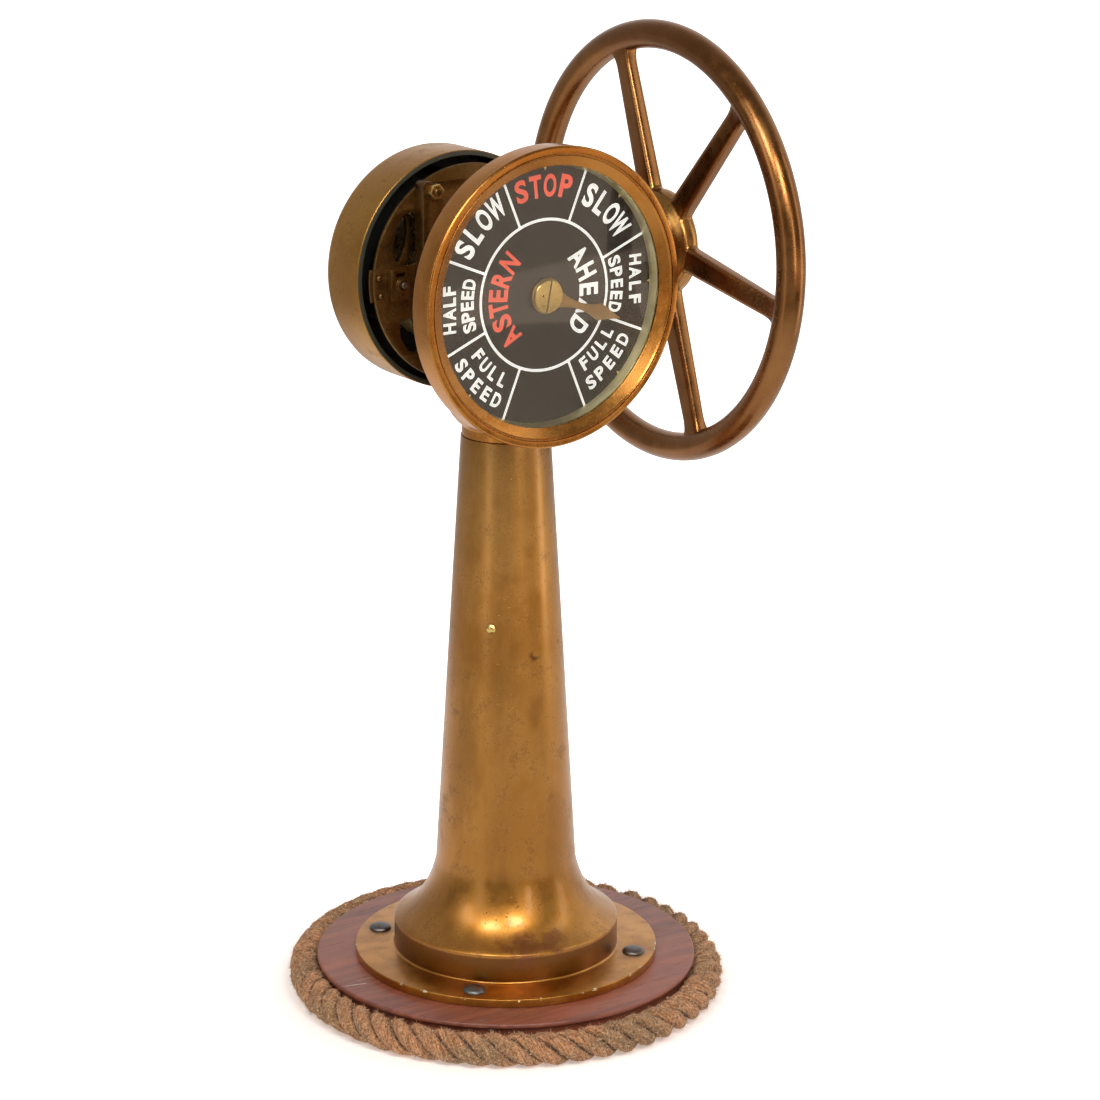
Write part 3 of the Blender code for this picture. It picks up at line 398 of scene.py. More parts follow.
def mahogany():
    """Dark varnished mahogany: long grain along X, short pores, and one glued joint along the middle."""
    material, n, shader = new_material("varnished_mahogany")
    where = n.object_place()
    grain = n.noise(n.stretched(where, (5.0, 90.0, 60.0)), 1.0, 6.0, 0.62, 0.4)
    figure = n.noise(n.stretched(where, (3.0, 14.0, 14.0)), 1.0, 3.0, 0.5, 1.2)
    pores = n.between(n.noise(n.stretched(where, (45.0, 900.0, 700.0)), 1.0, 2.0), 0.60, 0.70)
    color = n.mix(n.between(grain, 0.34, 0.66), rgb(0.150, 0.040, 0.024), rgb(0.245, 0.072, 0.038))
    color = n.mix(n.math("MULTIPLY", n.between(figure, 0.42, 0.70), 0.60), color, rgb(0.340, 0.090, 0.044))
    color = n.mix(n.math("MULTIPLY", pores, 0.55), color, rgb(0.022, 0.008, 0.007))
    wander = n.math("MULTIPLY", n.math("SUBTRACT", n.noise(where, 60.0, 2.0), 0.5), 0.003)
    off = n.math("ABSOLUTE", n.math("ADD", n.math("SUBTRACT", n.part(where, "Y"), JOINT_Y), wander))
    broken = n.between(n.noise(where, 85.0, 3.0), 0.42, 0.55)
    joint = n.math("MULTIPLY", n.between(off, 0.0009, 0.0003), broken)
    color = n.mix(n.math("MULTIPLY", joint, 0.75), color, rgb(0.42, 0.24, 0.15))
    dust = n.between(n.noise(where, 24.0, 5.0, 0.6), 0.52, 0.72)
    color = n.mix(n.math("MULTIPLY", dust, 0.14), color, rgb(0.36, 0.27, 0.22))
    for start, end in (((-0.1985, 0.010), (-0.170, 0.002)), ((0.150, 0.090), (0.182, 0.072))):
        color = n.mix(scratch_line(n, where, start, end), color, rgb(0.62, 0.46, 0.36))
    n.set(shader, "Base Color", color)
    n.set(shader, "Roughness", n.math("MULTIPLY_ADD", dust, 0.20, 0.42))
    n.set(shader, "Coat Weight", n.math("SUBTRACT", 0.22, n.math("MULTIPLY", dust, 0.15)))
    n.set(shader, "Coat Roughness", 0.30)
    bump(n, shader, n.math("MULTIPLY_ADD", pores, -0.7, grain), 0.00025)
    return material


def coir():
    """Coarse rope yarn: twisted fibre lines along the strand, tan crowns, and grooves between the strands
    painted dark as shade.
    """
    material, n, shader = new_material("coir_rope")
    along = n.add("ShaderNodeAttribute", attribute_name="along").outputs["Fac"]
    round_ = n.add("ShaderNodeAttribute", attribute_name="round").outputs["Fac"]
    crown = n.add("ShaderNodeAttribute", attribute_name="crown").outputs["Fac"]
    where = n.object_place()
    twist = n.math("MULTIPLY_ADD", along, -16.0, round_)
    laid = {"X": n.math("MULTIPLY", twist, 34.0), "Y": n.math("MULTIPLY", along, 55.0)}
    yarn = n.noise(n.add("ShaderNodeCombineXYZ", laid).outputs[0], 1.0, 4.0, 0.62)
    grit = n.noise(where, 400.0, 4.0, 0.80)
    patch = n.noise(where, 16.0, 3.0, 0.55)
    color = n.mix(n.between(yarn, 0.34, 0.68), rgb(0.27, 0.105, 0.036), rgb(0.85, 0.400, 0.170))
    color = n.mix(n.math("MULTIPLY", n.between(patch, 0.46, 0.62), 0.55), color, rgb(0.235, 0.165, 0.075))
    color = n.mix(n.math("MULTIPLY", n.between(grit, 0.52, 0.64), 0.80), color, rgb(0.050, 0.034, 0.014))
    color = n.mix(n.math("MULTIPLY", n.between(grit, 0.46, 0.38), 0.60), color, rgb(0.95, 0.62, 0.38))
    # Painted shade: the grooves between the strands are darkened by how far each point stands out.
    color = n.mix(n.math("MULTIPLY", n.between(crown, 0.55, 0.08), 0.85), color, rgb(0.050, 0.028, 0.012))
    n.set(shader, "Base Color", color)
    n.set(shader, "Roughness", n.math("MULTIPLY_ADD", grit, 0.10, 0.86))
    n.set(shader, "Sheen Weight", 0.08)
    n.set(shader, "Sheen Roughness", 0.6)
    bump(n, shader, n.math("MULTIPLY_ADD", grit, 1.2, yarn), 0.0022, 1.0)
    return material


def stray_fibre():
    """The rope's loose fibres: straw and tan, a little different from place to place."""
    material, n, shader = new_material("coir_fibre")
    shade = n.between(n.noise(n.object_place(), 160.0, 2.0), 0.38, 0.62)
    n.set(shader, "Base Color", n.mix(shade, rgb(0.34, 0.15, 0.055), rgb(0.92, 0.62, 0.36)))
    n.set(shader, "Roughness", 0.9)
    return material


def paint(name, color, gloss=0.40, mottle=0.12, glow=0.0):
    """Old paint; a little glow lets the dial's letters read clearly through the glass."""
    material, n, shader = new_material(name)
    worn = rgb(*(c * (1 - mottle) for c in color))
    enamel = n.add("ShaderNodeGroup", {"Fresh": rgb(*color), "Worn": worn, "Gloss": gloss},
                   node_tree=OLD_ENAMEL)
    n.set(shader, "Base Color", enamel.outputs["Color"])
    n.set(shader, "Emission Color", enamel.outputs["Color"])
    n.set(shader, "Emission Strength", glow)
    n.set(shader, "Roughness", enamel.outputs["Roughness"])
    bump(n, shader, enamel.outputs["Height"], 0.00003)
    return material


def clear_glass():
    material, n, shader = new_material("dial_glass_clear")
    n.set(shader, "Base Color", rgb(0.97, 0.98, 0.97))
    n.set(shader, "Transmission Weight", 1.0)
    n.set(shader, "IOR", 1.50)
    film = n.noise(n.object_place(), 38.0, 5.0, 0.65)
    n.set(shader, "Roughness", n.math("MULTIPLY", n.between(film, 0.62, 0.90), 0.012))
    return material


# Where the plinth's two boards are glued.
JOINT_Y = 13.5 * MM
COLUMN_BRASS = column_brass()
HEAD_BRASS = brass("head_brass", BROWN, dirt=0.12, pits=0.25, gloss=0.27, edge=0.0005, lacquer=0.08)
COVER_BRASS = brass("cover_brass", OLIVE, clouds=10.0, lacquer=0.2)
WHEEL_BRONZE = wheel_bronze()
# Painted shade: the brass of the parts inside the head is darkened for the shade they stand in.
PLATE_BRASS = brass("plate_brass", DULL_AND_SHADED, clouds=22.0, dirt=0.65, pits=0.8, gloss=0.42, edge=0.0007)
POINTER_BRASS = brass("pointer_brass", TAN, clouds=30.0, dirt=0.25, pits=0.2, gloss=0.34)
HAND_BRASS = brass("hand_brass", YELLOW, clouds=30.0, dirt=0.20, pits=0.2, gloss=0.30)
PALE_BRASS = brass("pale_brass", PALE, clouds=26.0, dirt=0.30, pits=0.3, gloss=0.30)
RING_BRASS = brass("ring_brass", CREAM, clouds=26.0, dirt=0.12, pits=0.25, gloss=0.42)
GEAR_BRASS = brass("gear_brass", OILED, clouds=40.0, dirt=0.6, pits=0.4)
DARK_STEEL = steel("bolt_steel", (0.17, 0.165, 0.16))
SHAFT_STEEL = steel("shaft_steel", (0.30, 0.29, 0.27), 0.36)
WOOD = mahogany()
ROPE = coir()
FIBRE = stray_fibre()
DIAL_BLACK = paint("dial_enamel", (0.030, 0.026, 0.022), 0.36)
DIAL_WHITE = paint("dial_white", (0.90, 0.90, 0.86), 0.42, 0.06, 0.62)
DIAL_RED = paint("dial_red", (0.86, 0.125, 0.075), 0.42, 0.15, 0.50)
# Black standing for shade: on the cover's inner side and in the hub screw's slot and lock hole.
SHADE_BLACK = paint("cover_lining_black", (0.012, 0.012, 0.010), 0.55)
RIM_BLACK = paint("cover_rim_dark", (0.045, 0.045, 0.030), 0.42)
GLASS = clear_glass()


# ---------------------------------------------------------------- shape helpers
def rounded(corners, closed=True):
    """An outline from (x, y) or (x, y, radius) corners in millimetres, each radius made a fillet."""
    points = []
    count = len(corners)
    for k, corner in enumerate(corners):
        here = Vector(corner[:2])
        radius = corner[2] if len(corner) > 2 else 0
        if not radius or (not closed and k in (0, count - 1)):
            points.append(here)
            continue
        back = Vector(corners[k - 1][:2]) - here
        on = Vector(corners[(k + 1) % count][:2]) - here
        opening = back.angle(on)
        if opening > pi - 0.02:
            points.append(here)
            continue
        reach = min(radius / tan(opening / 2), back.length * 0.49, on.length * 0.49)
        back.normalize()
        on.normalize()
        center = here + (back + on).normalized() * reach / cos(opening / 2)
        first = here + back * reach - center
        last = here + on * reach - center
        start = atan2(first.y, first.x)
        sweep = (atan2(last.y, last.x) - start + pi) % (2 * pi) - pi
        steps = max(3, ceil(abs(sweep) / radians(14)))
        for j in range(steps + 1):
            angle = start + sweep * j / steps
            points.append(center + first.length * Vector((cos(angle), sin(angle))))
    return [(p[0] * MM, p[1] * MM) for p in points]


def curve_points(p0, p1, p2, p3, steps):
    """The inner points of a Bezier curve; its two ends are left out."""
    found = []
    for k in range(1, steps):
        t = k / steps
        weights = ((1 - t) ** 3, 3 * t * (1 - t) ** 2, 3 * t * t * (1 - t), t**3)
        pairs = list(zip(weights, (p0, p1, p2, p3)))
        found.append((sum(w * p[0] for w, p in pairs), sum(w * p[1] for w, p in pairs)))
    return found


def turned(outline, steps=128, second=None):
    """The outline of (radius, height) turned about local Z; where second(r, h) holds, faces get slot 1."""
    on_axis = abs(outline[0][0]) < 1e-7 and abs(outline[-1][0]) < 1e-7
    bm = bmesh.new()
    rings = []
    for k in range(steps):
        swing = 2 * pi * k / steps
        rings.append([bm.verts.new((r * cos(swing), r * sin(swing), h)) for r, h in outline])
    count = len(outline)
    for k in range(steps):
        a, b = rings[k], rings[(k + 1) % steps]
        for j in range(count - 1 if on_axis else count):
            i = (j + 1) % count
            face = bm.faces.new((a[j], a[i], b[i], b[j]))
            if second and second((outline[j][0] + outline[i][0]) / 2, (outline[j][1] + outline[i][1]) / 2):
                face.material_index = 1
    bmesh.ops.remove_doubles(bm, verts=bm.verts, dist=1e-6)
    return bm


def flat(outlines, low, high, edge=0.0):
    """Closed outlines filled from low to high, with rounded edges; an inner outline is a hole."""
    curve = bpy.data.curves.new("flat", "CURVE")
    curve.dimensions = "2D"
    curve.fill_mode = "BOTH"
    curve.extrude = (high - low) / 2 - edge
    curve.bevel_depth = edge
    curve.bevel_resolution = 1
    curve.offset = -edge
    for outline in outlines:
        spline = curve.splines.new("POLY")
        spline.points.add(len(outline) - 1)
        for point, (x, y) in zip(spline.points, outline):
            point.co = (x, y, 0, 1)
        spline.use_cyclic_u = True
    bm = meshed(bpy.data.objects.new("flat", curve))
    bmesh.ops.translate(bm, verts=bm.verts, vec=(0, 0, (high + low) / 2))
    return bm


def meshed(helper):
    """The evaluated helper object as a merged bmesh; the helper is removed."""
    bpy.context.scene.collection.objects.link(helper)
    graph = bpy.context.evaluated_depsgraph_get()
    mesh = bpy.data.meshes.new_from_object(helper.evaluated_get(graph))
    bpy.data.objects.remove(helper)
    bm = bmesh.new()
    bm.from_mesh(mesh)
    bpy.data.meshes.remove(mesh)
    bmesh.ops.remove_doubles(bm, verts=bm.verts, dist=1e-6)
    return bm


def as_object(name, bm):
    bmesh.ops.recalc_face_normals(bm, faces=bm.faces)
    mesh = bpy.data.meshes.new(name)
    bm.to_mesh(mesh)
    bm.free()
    return bpy.data.objects.new(name, mesh)


def added(bm, other):
    """Moves the other bmesh's faces into the first."""
    mesh = bpy.data.meshes.new("added")
    other.to_mesh(mesh)
    other.free()
    bm.from_mesh(mesh)
    bpy.data.meshes.remove(mesh)


def ring_points(radius, steps=64, center=(0, 0)):
    found = []
    for k in range(steps):
        angle = 2 * pi * k / steps
        found.append((center[0] + radius * cos(angle), center[1] + radius * sin(angle)))
    return found


def hexagon(across_flats, turn_deg, corner=1.0):
    reach = across_flats / 2 / cos(pi / 6)
    corners = []
    for k in range(6):
        angle = radians(turn_deg + 60 * k)
        corners.append((reach * cos(angle), reach * sin(angle), corner))
    return rounded(corners)


def put(name, bm, place, materials, body="stand", stands_for=(), slot="brass", smooth=32):
    """The bmesh placed in the row frame as a named piece that rides on a body."""
    bmesh.ops.transform(bm, matrix=place, verts=bm.verts)
    bmesh.ops.recalc_face_normals(bm, faces=bm.faces)
    mesh = bpy.data.meshes.new(name)
    bm.to_mesh(mesh)
    bm.free()
    for material in materials if isinstance(materials, (list, tuple)) else [materials]:
        mesh.materials.append(material)
    mesh.shade_smooth()
    mesh.set_sharp_from_angle(angle=radians(smooth))
    piece = bpy.data.objects.new(name, mesh)
    bpy.context.scene.collection.objects.link(piece)
    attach(piece, body)
    if stands_for:
        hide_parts(*stands_for)
    return piece


def dressed(node, material, slot="brass", edge=0.4, body="stand"):
    """A CAD node's own shape, merged, with edges softened by so many millimetres and a better material."""
    bm = bmesh.new()
    bm.from_mesh(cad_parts[node].data)
    bmesh.ops.remove_doubles(bm, verts=bm.verts, dist=1e-6)
    bmesh.ops.dissolve_limit(bm, angle_limit=radians(1), verts=bm.verts, edges=bm.edges)
    sharp = [e for e in bm.edges if len(e.link_faces) == 2 and e.calc_face_angle() > radians(38)]
    if edge:
        soft = {"offset": edge * MM, "segments": 2, "profile": 0.5}
        bmesh.ops.bevel(bm, geom=sharp, affect="EDGES", clamp_overlap=True, **soft)
    return put(f"{node}_look", bm, UPRIGHT, material, body, (node,), slot, smooth=40)


# ---------------------------------------------------------------- base
# (radius, height) where the column's straight side ends above the flare, and at its top, in millimetres.
FOOT = (73.4, 144)
TOP = (46, 602)


def column_radius(height):
    return FOOT[0] + (TOP[0] - FOOT[0]) * (height - FOOT[1]) / (TOP[1] - FOOT[1])


def base():
    """The plinth, the pedestal casting, its four bolts and the domed plug in its side."""
    outline = [(0, 39), (200, 39, 4.5), (200, 34.6, 1.2), (195.4, 33.4, 1), (195.4, 0, 1), (0, 0)]
    wood = turned(rounded(outline, False), 192)
    put("plinth_wood", wood, UPRIGHT, WOOD, stands_for=("plinth",), slot="wood")

    crest = (117.8, 78.4)
    # Close rows up the straight side keep its shading even.
    side = [(column_radius(h), h) for h in (FOOT[1] + (TOP[1] - FOOT[1]) * t / 40 for t in range(39, 0, -1))]
    outline = [(36.2, TOP[1], 0.6), (*TOP, 0.8)] + side + [FOOT]
    outline += curve_points(FOOT, (84.5, 90.5), (112, 85.5), crest, 24)
    outline += [(*crest, 0.7), (117.8, 48, 2.2), (159, 48, 1.0), (159, 39.3, 0.6), (36.2, 39.3)]
    column = turned(rounded(outline), 160)
    put("pedestal", column, UPRIGHT, COLUMN_BRASS, stands_for=("pedestal_column",))

    for k in range(1, 5):
        at = middle(f"base_bolt_{k}")
        dome = [(0, 53.0)] + [(11.6 * sin(a), 48.3 + 4.7 * cos(a)) for a in (0.3, 0.6, 0.9, 1.15, 1.35)]
        dome += [(11.7, 48.3), (6, 48.3), (6, 12), (0, 12)]
        dome = turned([(r * MM, h * MM) for r, h in dome], 48)
        place = Matrix.Translation((at.x, at.y, 0))
        put(f"bolt_{k}", dome, place, DARK_STEEL, stands_for=(f"base_bolt_{k}",), slot="steel")

    at = middle("column_plug")
    outward = Vector((at.x, at.y, 0)).normalized()
    dome = turned(rounded([(0, 2.4), (2.6, 2.0, 2), (5.0, 0.4, 1), (5.0, -3.0), (0, -3.0)], False), 32)
    place = Matrix.Translation(outward * column_radius(at.z / MM) * MM + Vector((0, 0, at.z)))
    place = place @ outward.to_track_quat("Z", "Y").to_matrix().to_4x4()
    put("side_plug", dome, place, HAND_BRASS, stands_for=("column_plug",), slot="pale_brass")


# ---------------------------------------------------------------- rope
ROPE_R = 16.3 * MM
ROPE_RING_R = 211.8 * MM
ROPE_LIFT = 6 * MM
ROPE_START = radians(21.2)
ROPE_SWEEP = radians(357.6)
ROPE_TURNS = 17.0


def rope_lift(angle):
    """How much higher than in front the rope lies at this angle; the back is highest."""
    return ROPE_LIFT * (1 + sin(angle)) / 2


def rope_line():
    """The rope's middle as a curve."""
    curve = bpy.data.curves.new("rope_line", "CURVE")
    curve.dimensions = "3D"
    spline = curve.splines.new("POLY")
    count = 180
    spline.points.add(count)
    for k, point in enumerate(spline.points):
        angle = ROPE_START + ROPE_SWEEP * k / count
        height = ROPE_R + rope_lift(angle)
        point.co = (ROPE_RING_R * cos(angle), ROPE_RING_R * sin(angle), height, 1)
    return bpy.data.objects.new("rope_line", curve)


def geometry_tree(name, inputs):
    tree = bpy.data.node_groups.new(name, "GeometryNodeTree")
    tree.interface.new_socket("Geometry", in_out="INPUT", socket_type="NodeSocketGeometry")
    for label, kind, value in inputs:
        socket = tree.interface.new_socket(label, in_out="INPUT", socket_type=f"NodeSocket{kind}")
        if kind != "Material":
            socket.default_value = value
    tree.interface.new_socket("Geometry", in_out="OUTPUT", socket_type="NodeSocketGeometry")
    nodes = Nodes(tree)
    return tree, nodes, nodes.add("NodeGroupInput").outputs, nodes.add("NodeGroupOutput")


def laid_strand_tree():
    """One strand of a laid rope: a tube wound round the guide curve, with its yarn's lumps."""
    tree, n, given, end = geometry_tree(
        "laid_strand",
        [
            ("Winding Radius", "Float", 0.008),
            ("Strand Radius", "Float", 0.008),
            ("Turns", "Float", 17.0),
            ("Phase", "Float", 0.0),
            ("Lumps", "Float", 0.0008),
            ("Steps", "Int", 1100),
            ("Finish", "Material", None),
        ],
    )
    fine = n.add("GeometryNodeResampleCurve", {"Curve": given["Geometry"], "Count": given["Steps"]})
    parameter = n.add("GeometryNodeSplineParameter").outputs
    whole_turn = n.math("MULTIPLY", given["Turns"], 2 * pi)
    turn = n.math("MULTIPLY_ADD", parameter["Factor"], whole_turn, given["Phase"])
    tangent = n.add("GeometryNodeInputTangent").outputs[0]
    across = n.vector("NORMALIZE", n.vector("CROSS_PRODUCT", tangent, (0, 0, 1)))
    above = n.vector("NORMALIZE", n.vector("CROSS_PRODUCT", across, tangent))
    place = n.add("GeometryNodeInputPosition").outputs[0]
    # The winding swells and shrinks a little from place to place, as a slack old rope's does.
    slack = n.noise(place, 9.0, 2.0)
    reach = n.math("MULTIPLY", given["Winding Radius"], n.math("MULTIPLY_ADD", slack, 0.30, 0.85))

    sideways = n.scaled(across, n.math("MULTIPLY", n.math("COSINE", turn), reach))
    upward = n.scaled(above, n.math("MULTIPLY", n.math("SINE", turn), reach))
    offset = n.vector("ADD", sideways, upward)
    wound = n.add("GeometryNodeSetPosition", {"Geometry": fine.outputs[0], "Offset": offset})
    along = n.add("GeometryNodeStoreNamedAttribute",
                  {"Geometry": wound.outputs[0], "Name": "along", "Value": parameter["Length"]},
                  data_type="FLOAT", domain="POINT")
    profile = n.add("GeometryNodeCurvePrimitiveCircle",
                    {"Resolution": 22, "Radius": given["Strand Radius"]})
    round_ = n.add("GeometryNodeStoreNamedAttribute",
                   {"Geometry": profile.outputs[0], "Name": "round", "Value": parameter["Factor"]},
                   data_type="FLOAT", domain="POINT")
    tube = n.add("GeometryNodeCurveToMesh",
                 {"Curve": along.outputs[0], "Profile Curve": round_.outputs[0], "Fill Caps": True})
    surface = n.add("GeometryNodeInputPosition").outputs[0]
    lumps = n.math("SUBTRACT", n.noise(surface, 240.0, 4.0, 0.7), 0.5)
    broad = n.math("SUBTRACT", n.noise(surface, 70.0, 2.0), 0.5)
    lumps = n.math("MULTIPLY_ADD", broad, 1.6, lumps)
    normal = n.add("GeometryNodeInputNormal").outputs[0]
    push = n.scaled(normal, n.math("MULTIPLY", lumps, given["Lumps"]))
    rough = n.add("GeometryNodeSetPosition", {"Geometry": tube.outputs[0], "Offset": push})
    real = n.add("GeometryNodeRealizeInstances", {"Geometry": rough.outputs[0]})
    done = n.add("GeometryNodeSetMaterial", {"Geometry": real.outputs[0], "Material": given["Finish"]})
    n.set(end, "Geometry", done.outputs[0])
    return tree


def fibre_tree():
    """Short stray fibres standing off the rope's surface, each leaning its own way."""
    tree, n, given, end = geometry_tree(
        "stray_fibres",
        [
            ("Density", "Float", 30000.0),
            ("Length", "Float", 0.004),
            ("Thickness", "Float", 0.00016),
            ("Seed", "Int", 3),
            ("Finish", "Material", None),
        ],
    )
    # None grow so low that they could reach through the floor.
    height = n.part(n.add("GeometryNodeInputPosition").outputs[0], "Z")
    clear = n.math("GREATER_THAN", height, n.math("MULTIPLY", given["Length"], 1.2))
    where = {"Mesh": given["Geometry"], "Selection": clear, "Density": given["Density"],
             "Seed": given["Seed"]}
    points = n.add("GeometryNodeDistributePointsOnFaces", where)
    size = {"Vertices": 3, "Radius Top": 0.0, "Radius Bottom": given["Thickness"], "Depth": given["Length"]}
    hair = n.add("GeometryNodeMeshCone", size, fill_type="NGON")
    lean = n.add("FunctionNodeRandomValue",
                 {0: (-1.0, -1.0, -1.0), 1: (1.0, 1.0, 1.0),
                  "Seed": given["Seed"]}, data_type="FLOAT_VECTOR")
    direction = n.vector("ADD", n.scaled(points.outputs["Normal"], 0.55), lean.outputs[0])
    aim = n.add("FunctionNodeAlignRotationToVector", {"Vector": direction}, axis="Z")
    size = n.add("FunctionNodeRandomValue", {2: 0.35, 3: 1.15, "Seed": given["Seed"]}, data_type="FLOAT")
    hairs = n.add("GeometryNodeInstanceOnPoints",
                  {"Points": points.outputs[0], "Instance": hair.outputs[0], "Rotation": aim.outputs[0],
                   "Scale": size.outputs[1]})
    real = n.add("GeometryNodeRealizeInstances", {"Geometry": hairs.outputs[0]})
    done = n.add("GeometryNodeSetMaterial", {"Geometry": real.outputs[0], "Material": given["Finish"]})
    n.set(end, "Geometry", done.outputs[0])
    return tree


def grown(helper, tree, **values):
    """The bmesh that a geometry tree makes from a helper object, with its inputs set by identifier."""
    step = helper.modifiers.new("grow", "NODES")
    step.node_group = tree
    for item in tree.interface.items_tree:
        label = item.name.replace(" ", "_").lower()
        if item.in_out == "INPUT" and label in values:
            step[item.identifier] = values[label]
    return meshed(helper)


def rope():
    """Three strands laid into one rope, and its stray fibres."""
    strand_tree = laid_strand_tree()
    size = {"winding_radius": ROPE_R * 0.52, "strand_radius": ROPE_R * 0.52, "lumps": 1.8 * MM,
            "steps": 1100}
    whole = bmesh.new()
    for k in range(3):
        phase = 2 * pi * k / 3
        added(whole, grown(rope_line(), strand_tree, turns=-ROPE_TURNS, phase=phase, finish=ROPE, **size))
    crowned(whole)
    # It lies flat where it rests on the floor.
    for vert in whole.verts:
        vert.co.z = max(vert.co.z, 0.0)
    piece = put("rope", whole, UPRIGHT, ROPE, stands_for=("rope_border",), slot="rope", smooth=180)

    copy = bpy.data.objects.new("rope_copy", piece.data.copy())
    size = {"density": 120000.0, "length": 5.2 * MM, "thickness": 0.34 * MM}
    hairs = grown(copy, fibre_tree(), seed=5, finish=FIBRE, **size)
    put("rope_fibres", hairs, UPRIGHT, FIBRE, slot="rope", smooth=180)


def crowned(bm):
    """Marks how far each point stands out from the rope's middle: 0 in the grooves, 1 on the crowns; the
    rope's material paints shade into the grooves by it.
    """
    layer = bm.verts.layers.float.new("crown")
    for vert in bm.verts:
        out = sqrt(vert.co.x**2 + vert.co.y**2)
        angle = atan2(vert.co.y, vert.co.x)
        above = vert.co.z - ROPE_R - rope_lift(angle)
        away = sqrt((out - ROPE_RING_R) ** 2 + above**2)
        vert[layer] = min(1.0, max(0.0, (away / ROPE_R - 0.66) / 0.34))


# ---------------------------------------------------------------- head frame
def head():
    """The bowl on the column, the front web with its boss, and the rear yoke on its stem."""
    outline = [(15, 634, 0.8), (57, 634, 1.5), (57, 626, 6), (50, 617, 8), (45, 612.5, 3), (45, 602.3, 0.6)]
    outline += [(35.7, 602.3), (35.7, 575, 1), (15, 575)]
    bowl = turned(rounded(outline), 128)
    put("head_bowl", bowl, UPRIGHT, HEAD_BRASS, stands_for=("head_frame",))

    drop = 620 - POINTER_Z / MM
    web = [(62 * cos(radians(a)), 62 * sin(radians(a))) for a in range(294, 607, 6)]
    web = [(x * MM, y * MM) for x, y in [(25.2, drop)] + web + [(-25.2, drop)]]
    rise = (WHEEL_Z - POINTER_Z) / MM
    holes = [ring_points(4.3 * MM, 24), ring_points(4.3 * MM, 24, (0, rise * MM))]
    holes += [ring_points(3.3 * MM, 16, (x * MM, z * MM)) for x in (-32.5, 32.5) for z in (-32.5, 32.5)]
    put("head_web", flat([web] + holes, 0.0497, 0.0577, 0.0012), DIAL, HEAD_BRASS)
    boss = rounded([(-11, rise + 11, 10.9), (11, rise + 11, 10.9), (11, -11, 10.9), (-11, -11, 10.9)])
    put("web_boss", flat([boss] + holes[:2], 0.0400, 0.0500, 0.0010), DIAL, HEAD_BRASS)

    side = [(15, -137, 2), (29, -117, 6), (46, -95, 14), (62.5, -66, 12), (62.5, 101, 8), (53, 101, 5)]
    side += [(37.5, 89, 3), (37.5, -55, 8), (26, -82, 8), (10, -96, 6)]
    outline = rounded(side + [(-x, y, r) for x, y, r in reversed(side)])
    holes = [ring_points(4.3 * MM, 24, (x * MM, 91 * MM)) for x in (-50, 50)]
    yoke = flat([outline] + holes, -0.0702, -0.0550, 0.0010)
    put("rear_yoke", yoke, DIAL, PLATE_BRASS)
    outline = rounded([(-15, 620, 2), (15, 620, 2), (15, 633.5, 2), (-15, 633.5, 2)])
    stem = flat([outline], -0.0565, -0.0300, 0.0008)
    put("rear_stem", stem, turned_frame((0, 0, 0), FORWARD), HEAD_BRASS)


# ---------------------------------------------------------------- dial
def case_and_bezel():
    """The drum, bezel, dial plate, spacer ring and glass, each turned about the pointer's axis."""
    outline = [(6, 61.5), (146.5, 61.5, 1), (146.5, 83), (150, 83, 0.9), (150, 58, 2.0), (6, 58)]
    put("case_drum", turned(rounded(outline), 192), DIAL, HEAD_BRASS, stands_for=("dial_case",))
    # The inner cone ends in a fine bead, a narrow groove parts it from the outer round.
    outline = [(131.4, 80.3, 0.3), (131.4, 81.6, 0.5), (141.3, 86.2, 0.3), (142.4, 87.8, 0.5)]
    outline += [(143.2, 87.8, 0.3), (143.4, 86.4), (144.1, 86.4), (144.4, 87.9, 0.3)]
    outline += [(151.4, 88.0, 3.6), (151.4, 83.3, 1.0), (146, 83.3, 0.4), (146, 80.3)]
    put("bezel_ring", turned(rounded(outline), 224), DIAL, HEAD_BRASS, stands_for=("bezel",))

    enamel = turned(rounded([(0, 66.5), (140, 66.5, 0.3), (140, 61.8), (0, 61.8)], False), 160)
    put("dial_face", enamel, DIAL, DIAL_BLACK, stands_for=("dial_plate",), slot="dial_black")

    outline = [(128.2, 66.8), (128.5, 67.2, 0.2), (131.8, 76.8, 0.4), (145.5, 77.0, 0.4)]
    outline += [(145.5, 75.0), (134, 75.0, 0.5), (134, 66.8)]
    wall = turned(rounded(outline), 192)
    put("spacer_ring", wall, DIAL, RING_BRASS, stands_for=("dial_ring",), slot="pale_brass")
    order_points()

    pane = turned(rounded([(0, 80), (145.5, 80, 0.3), (145.5, 77.3, 0.3), (0, 77.3)], False), 160)
    put("glass_pane", pane, DIAL, GLASS, stands_for=("dial_glass",), slot="glass")


def order_points():
    """Small pale points on the spacer ring, one at each order."""
    bm = bmesh.new()
    for bearing in (-135, -90, -45, 0, 45, 90, 135):
        angle = radians(bearing)
        out = Vector((sin(angle), cos(angle), 0))
        side = Vector((cos(angle), -sin(angle), 0))
        corners = [out * 0.1295 - side * 0.0026, out * 0.1295 + side * 0.0026, out * 0.1245]
        lower = [bm.verts.new(c + Vector((0, 0, 0.0668))) for c in corners]
        upper = [bm.verts.new(c + Vector((0, 0, 0.0676))) for c in corners]
        bm.faces.new(lower)
        bm.faces.new(upper[::-1])
        for k in range(3):
            j = (k + 1) % 3
            bm.faces.new((lower[k], lower[j], upper[j], upper[k]))
    put("order_points", bm, DIAL, RING_BRASS, slot="pale_brass")


# The paint's two faces along the pointer's axis, and the painted ring's middle radius in millimetres.
PAINT_LOW = 0.06652
PAINT_HIGH = 0.06664
PAINT_MIDDLE = (PAINT_LOW + PAINT_HIGH) / 2
RING_R = 75.4


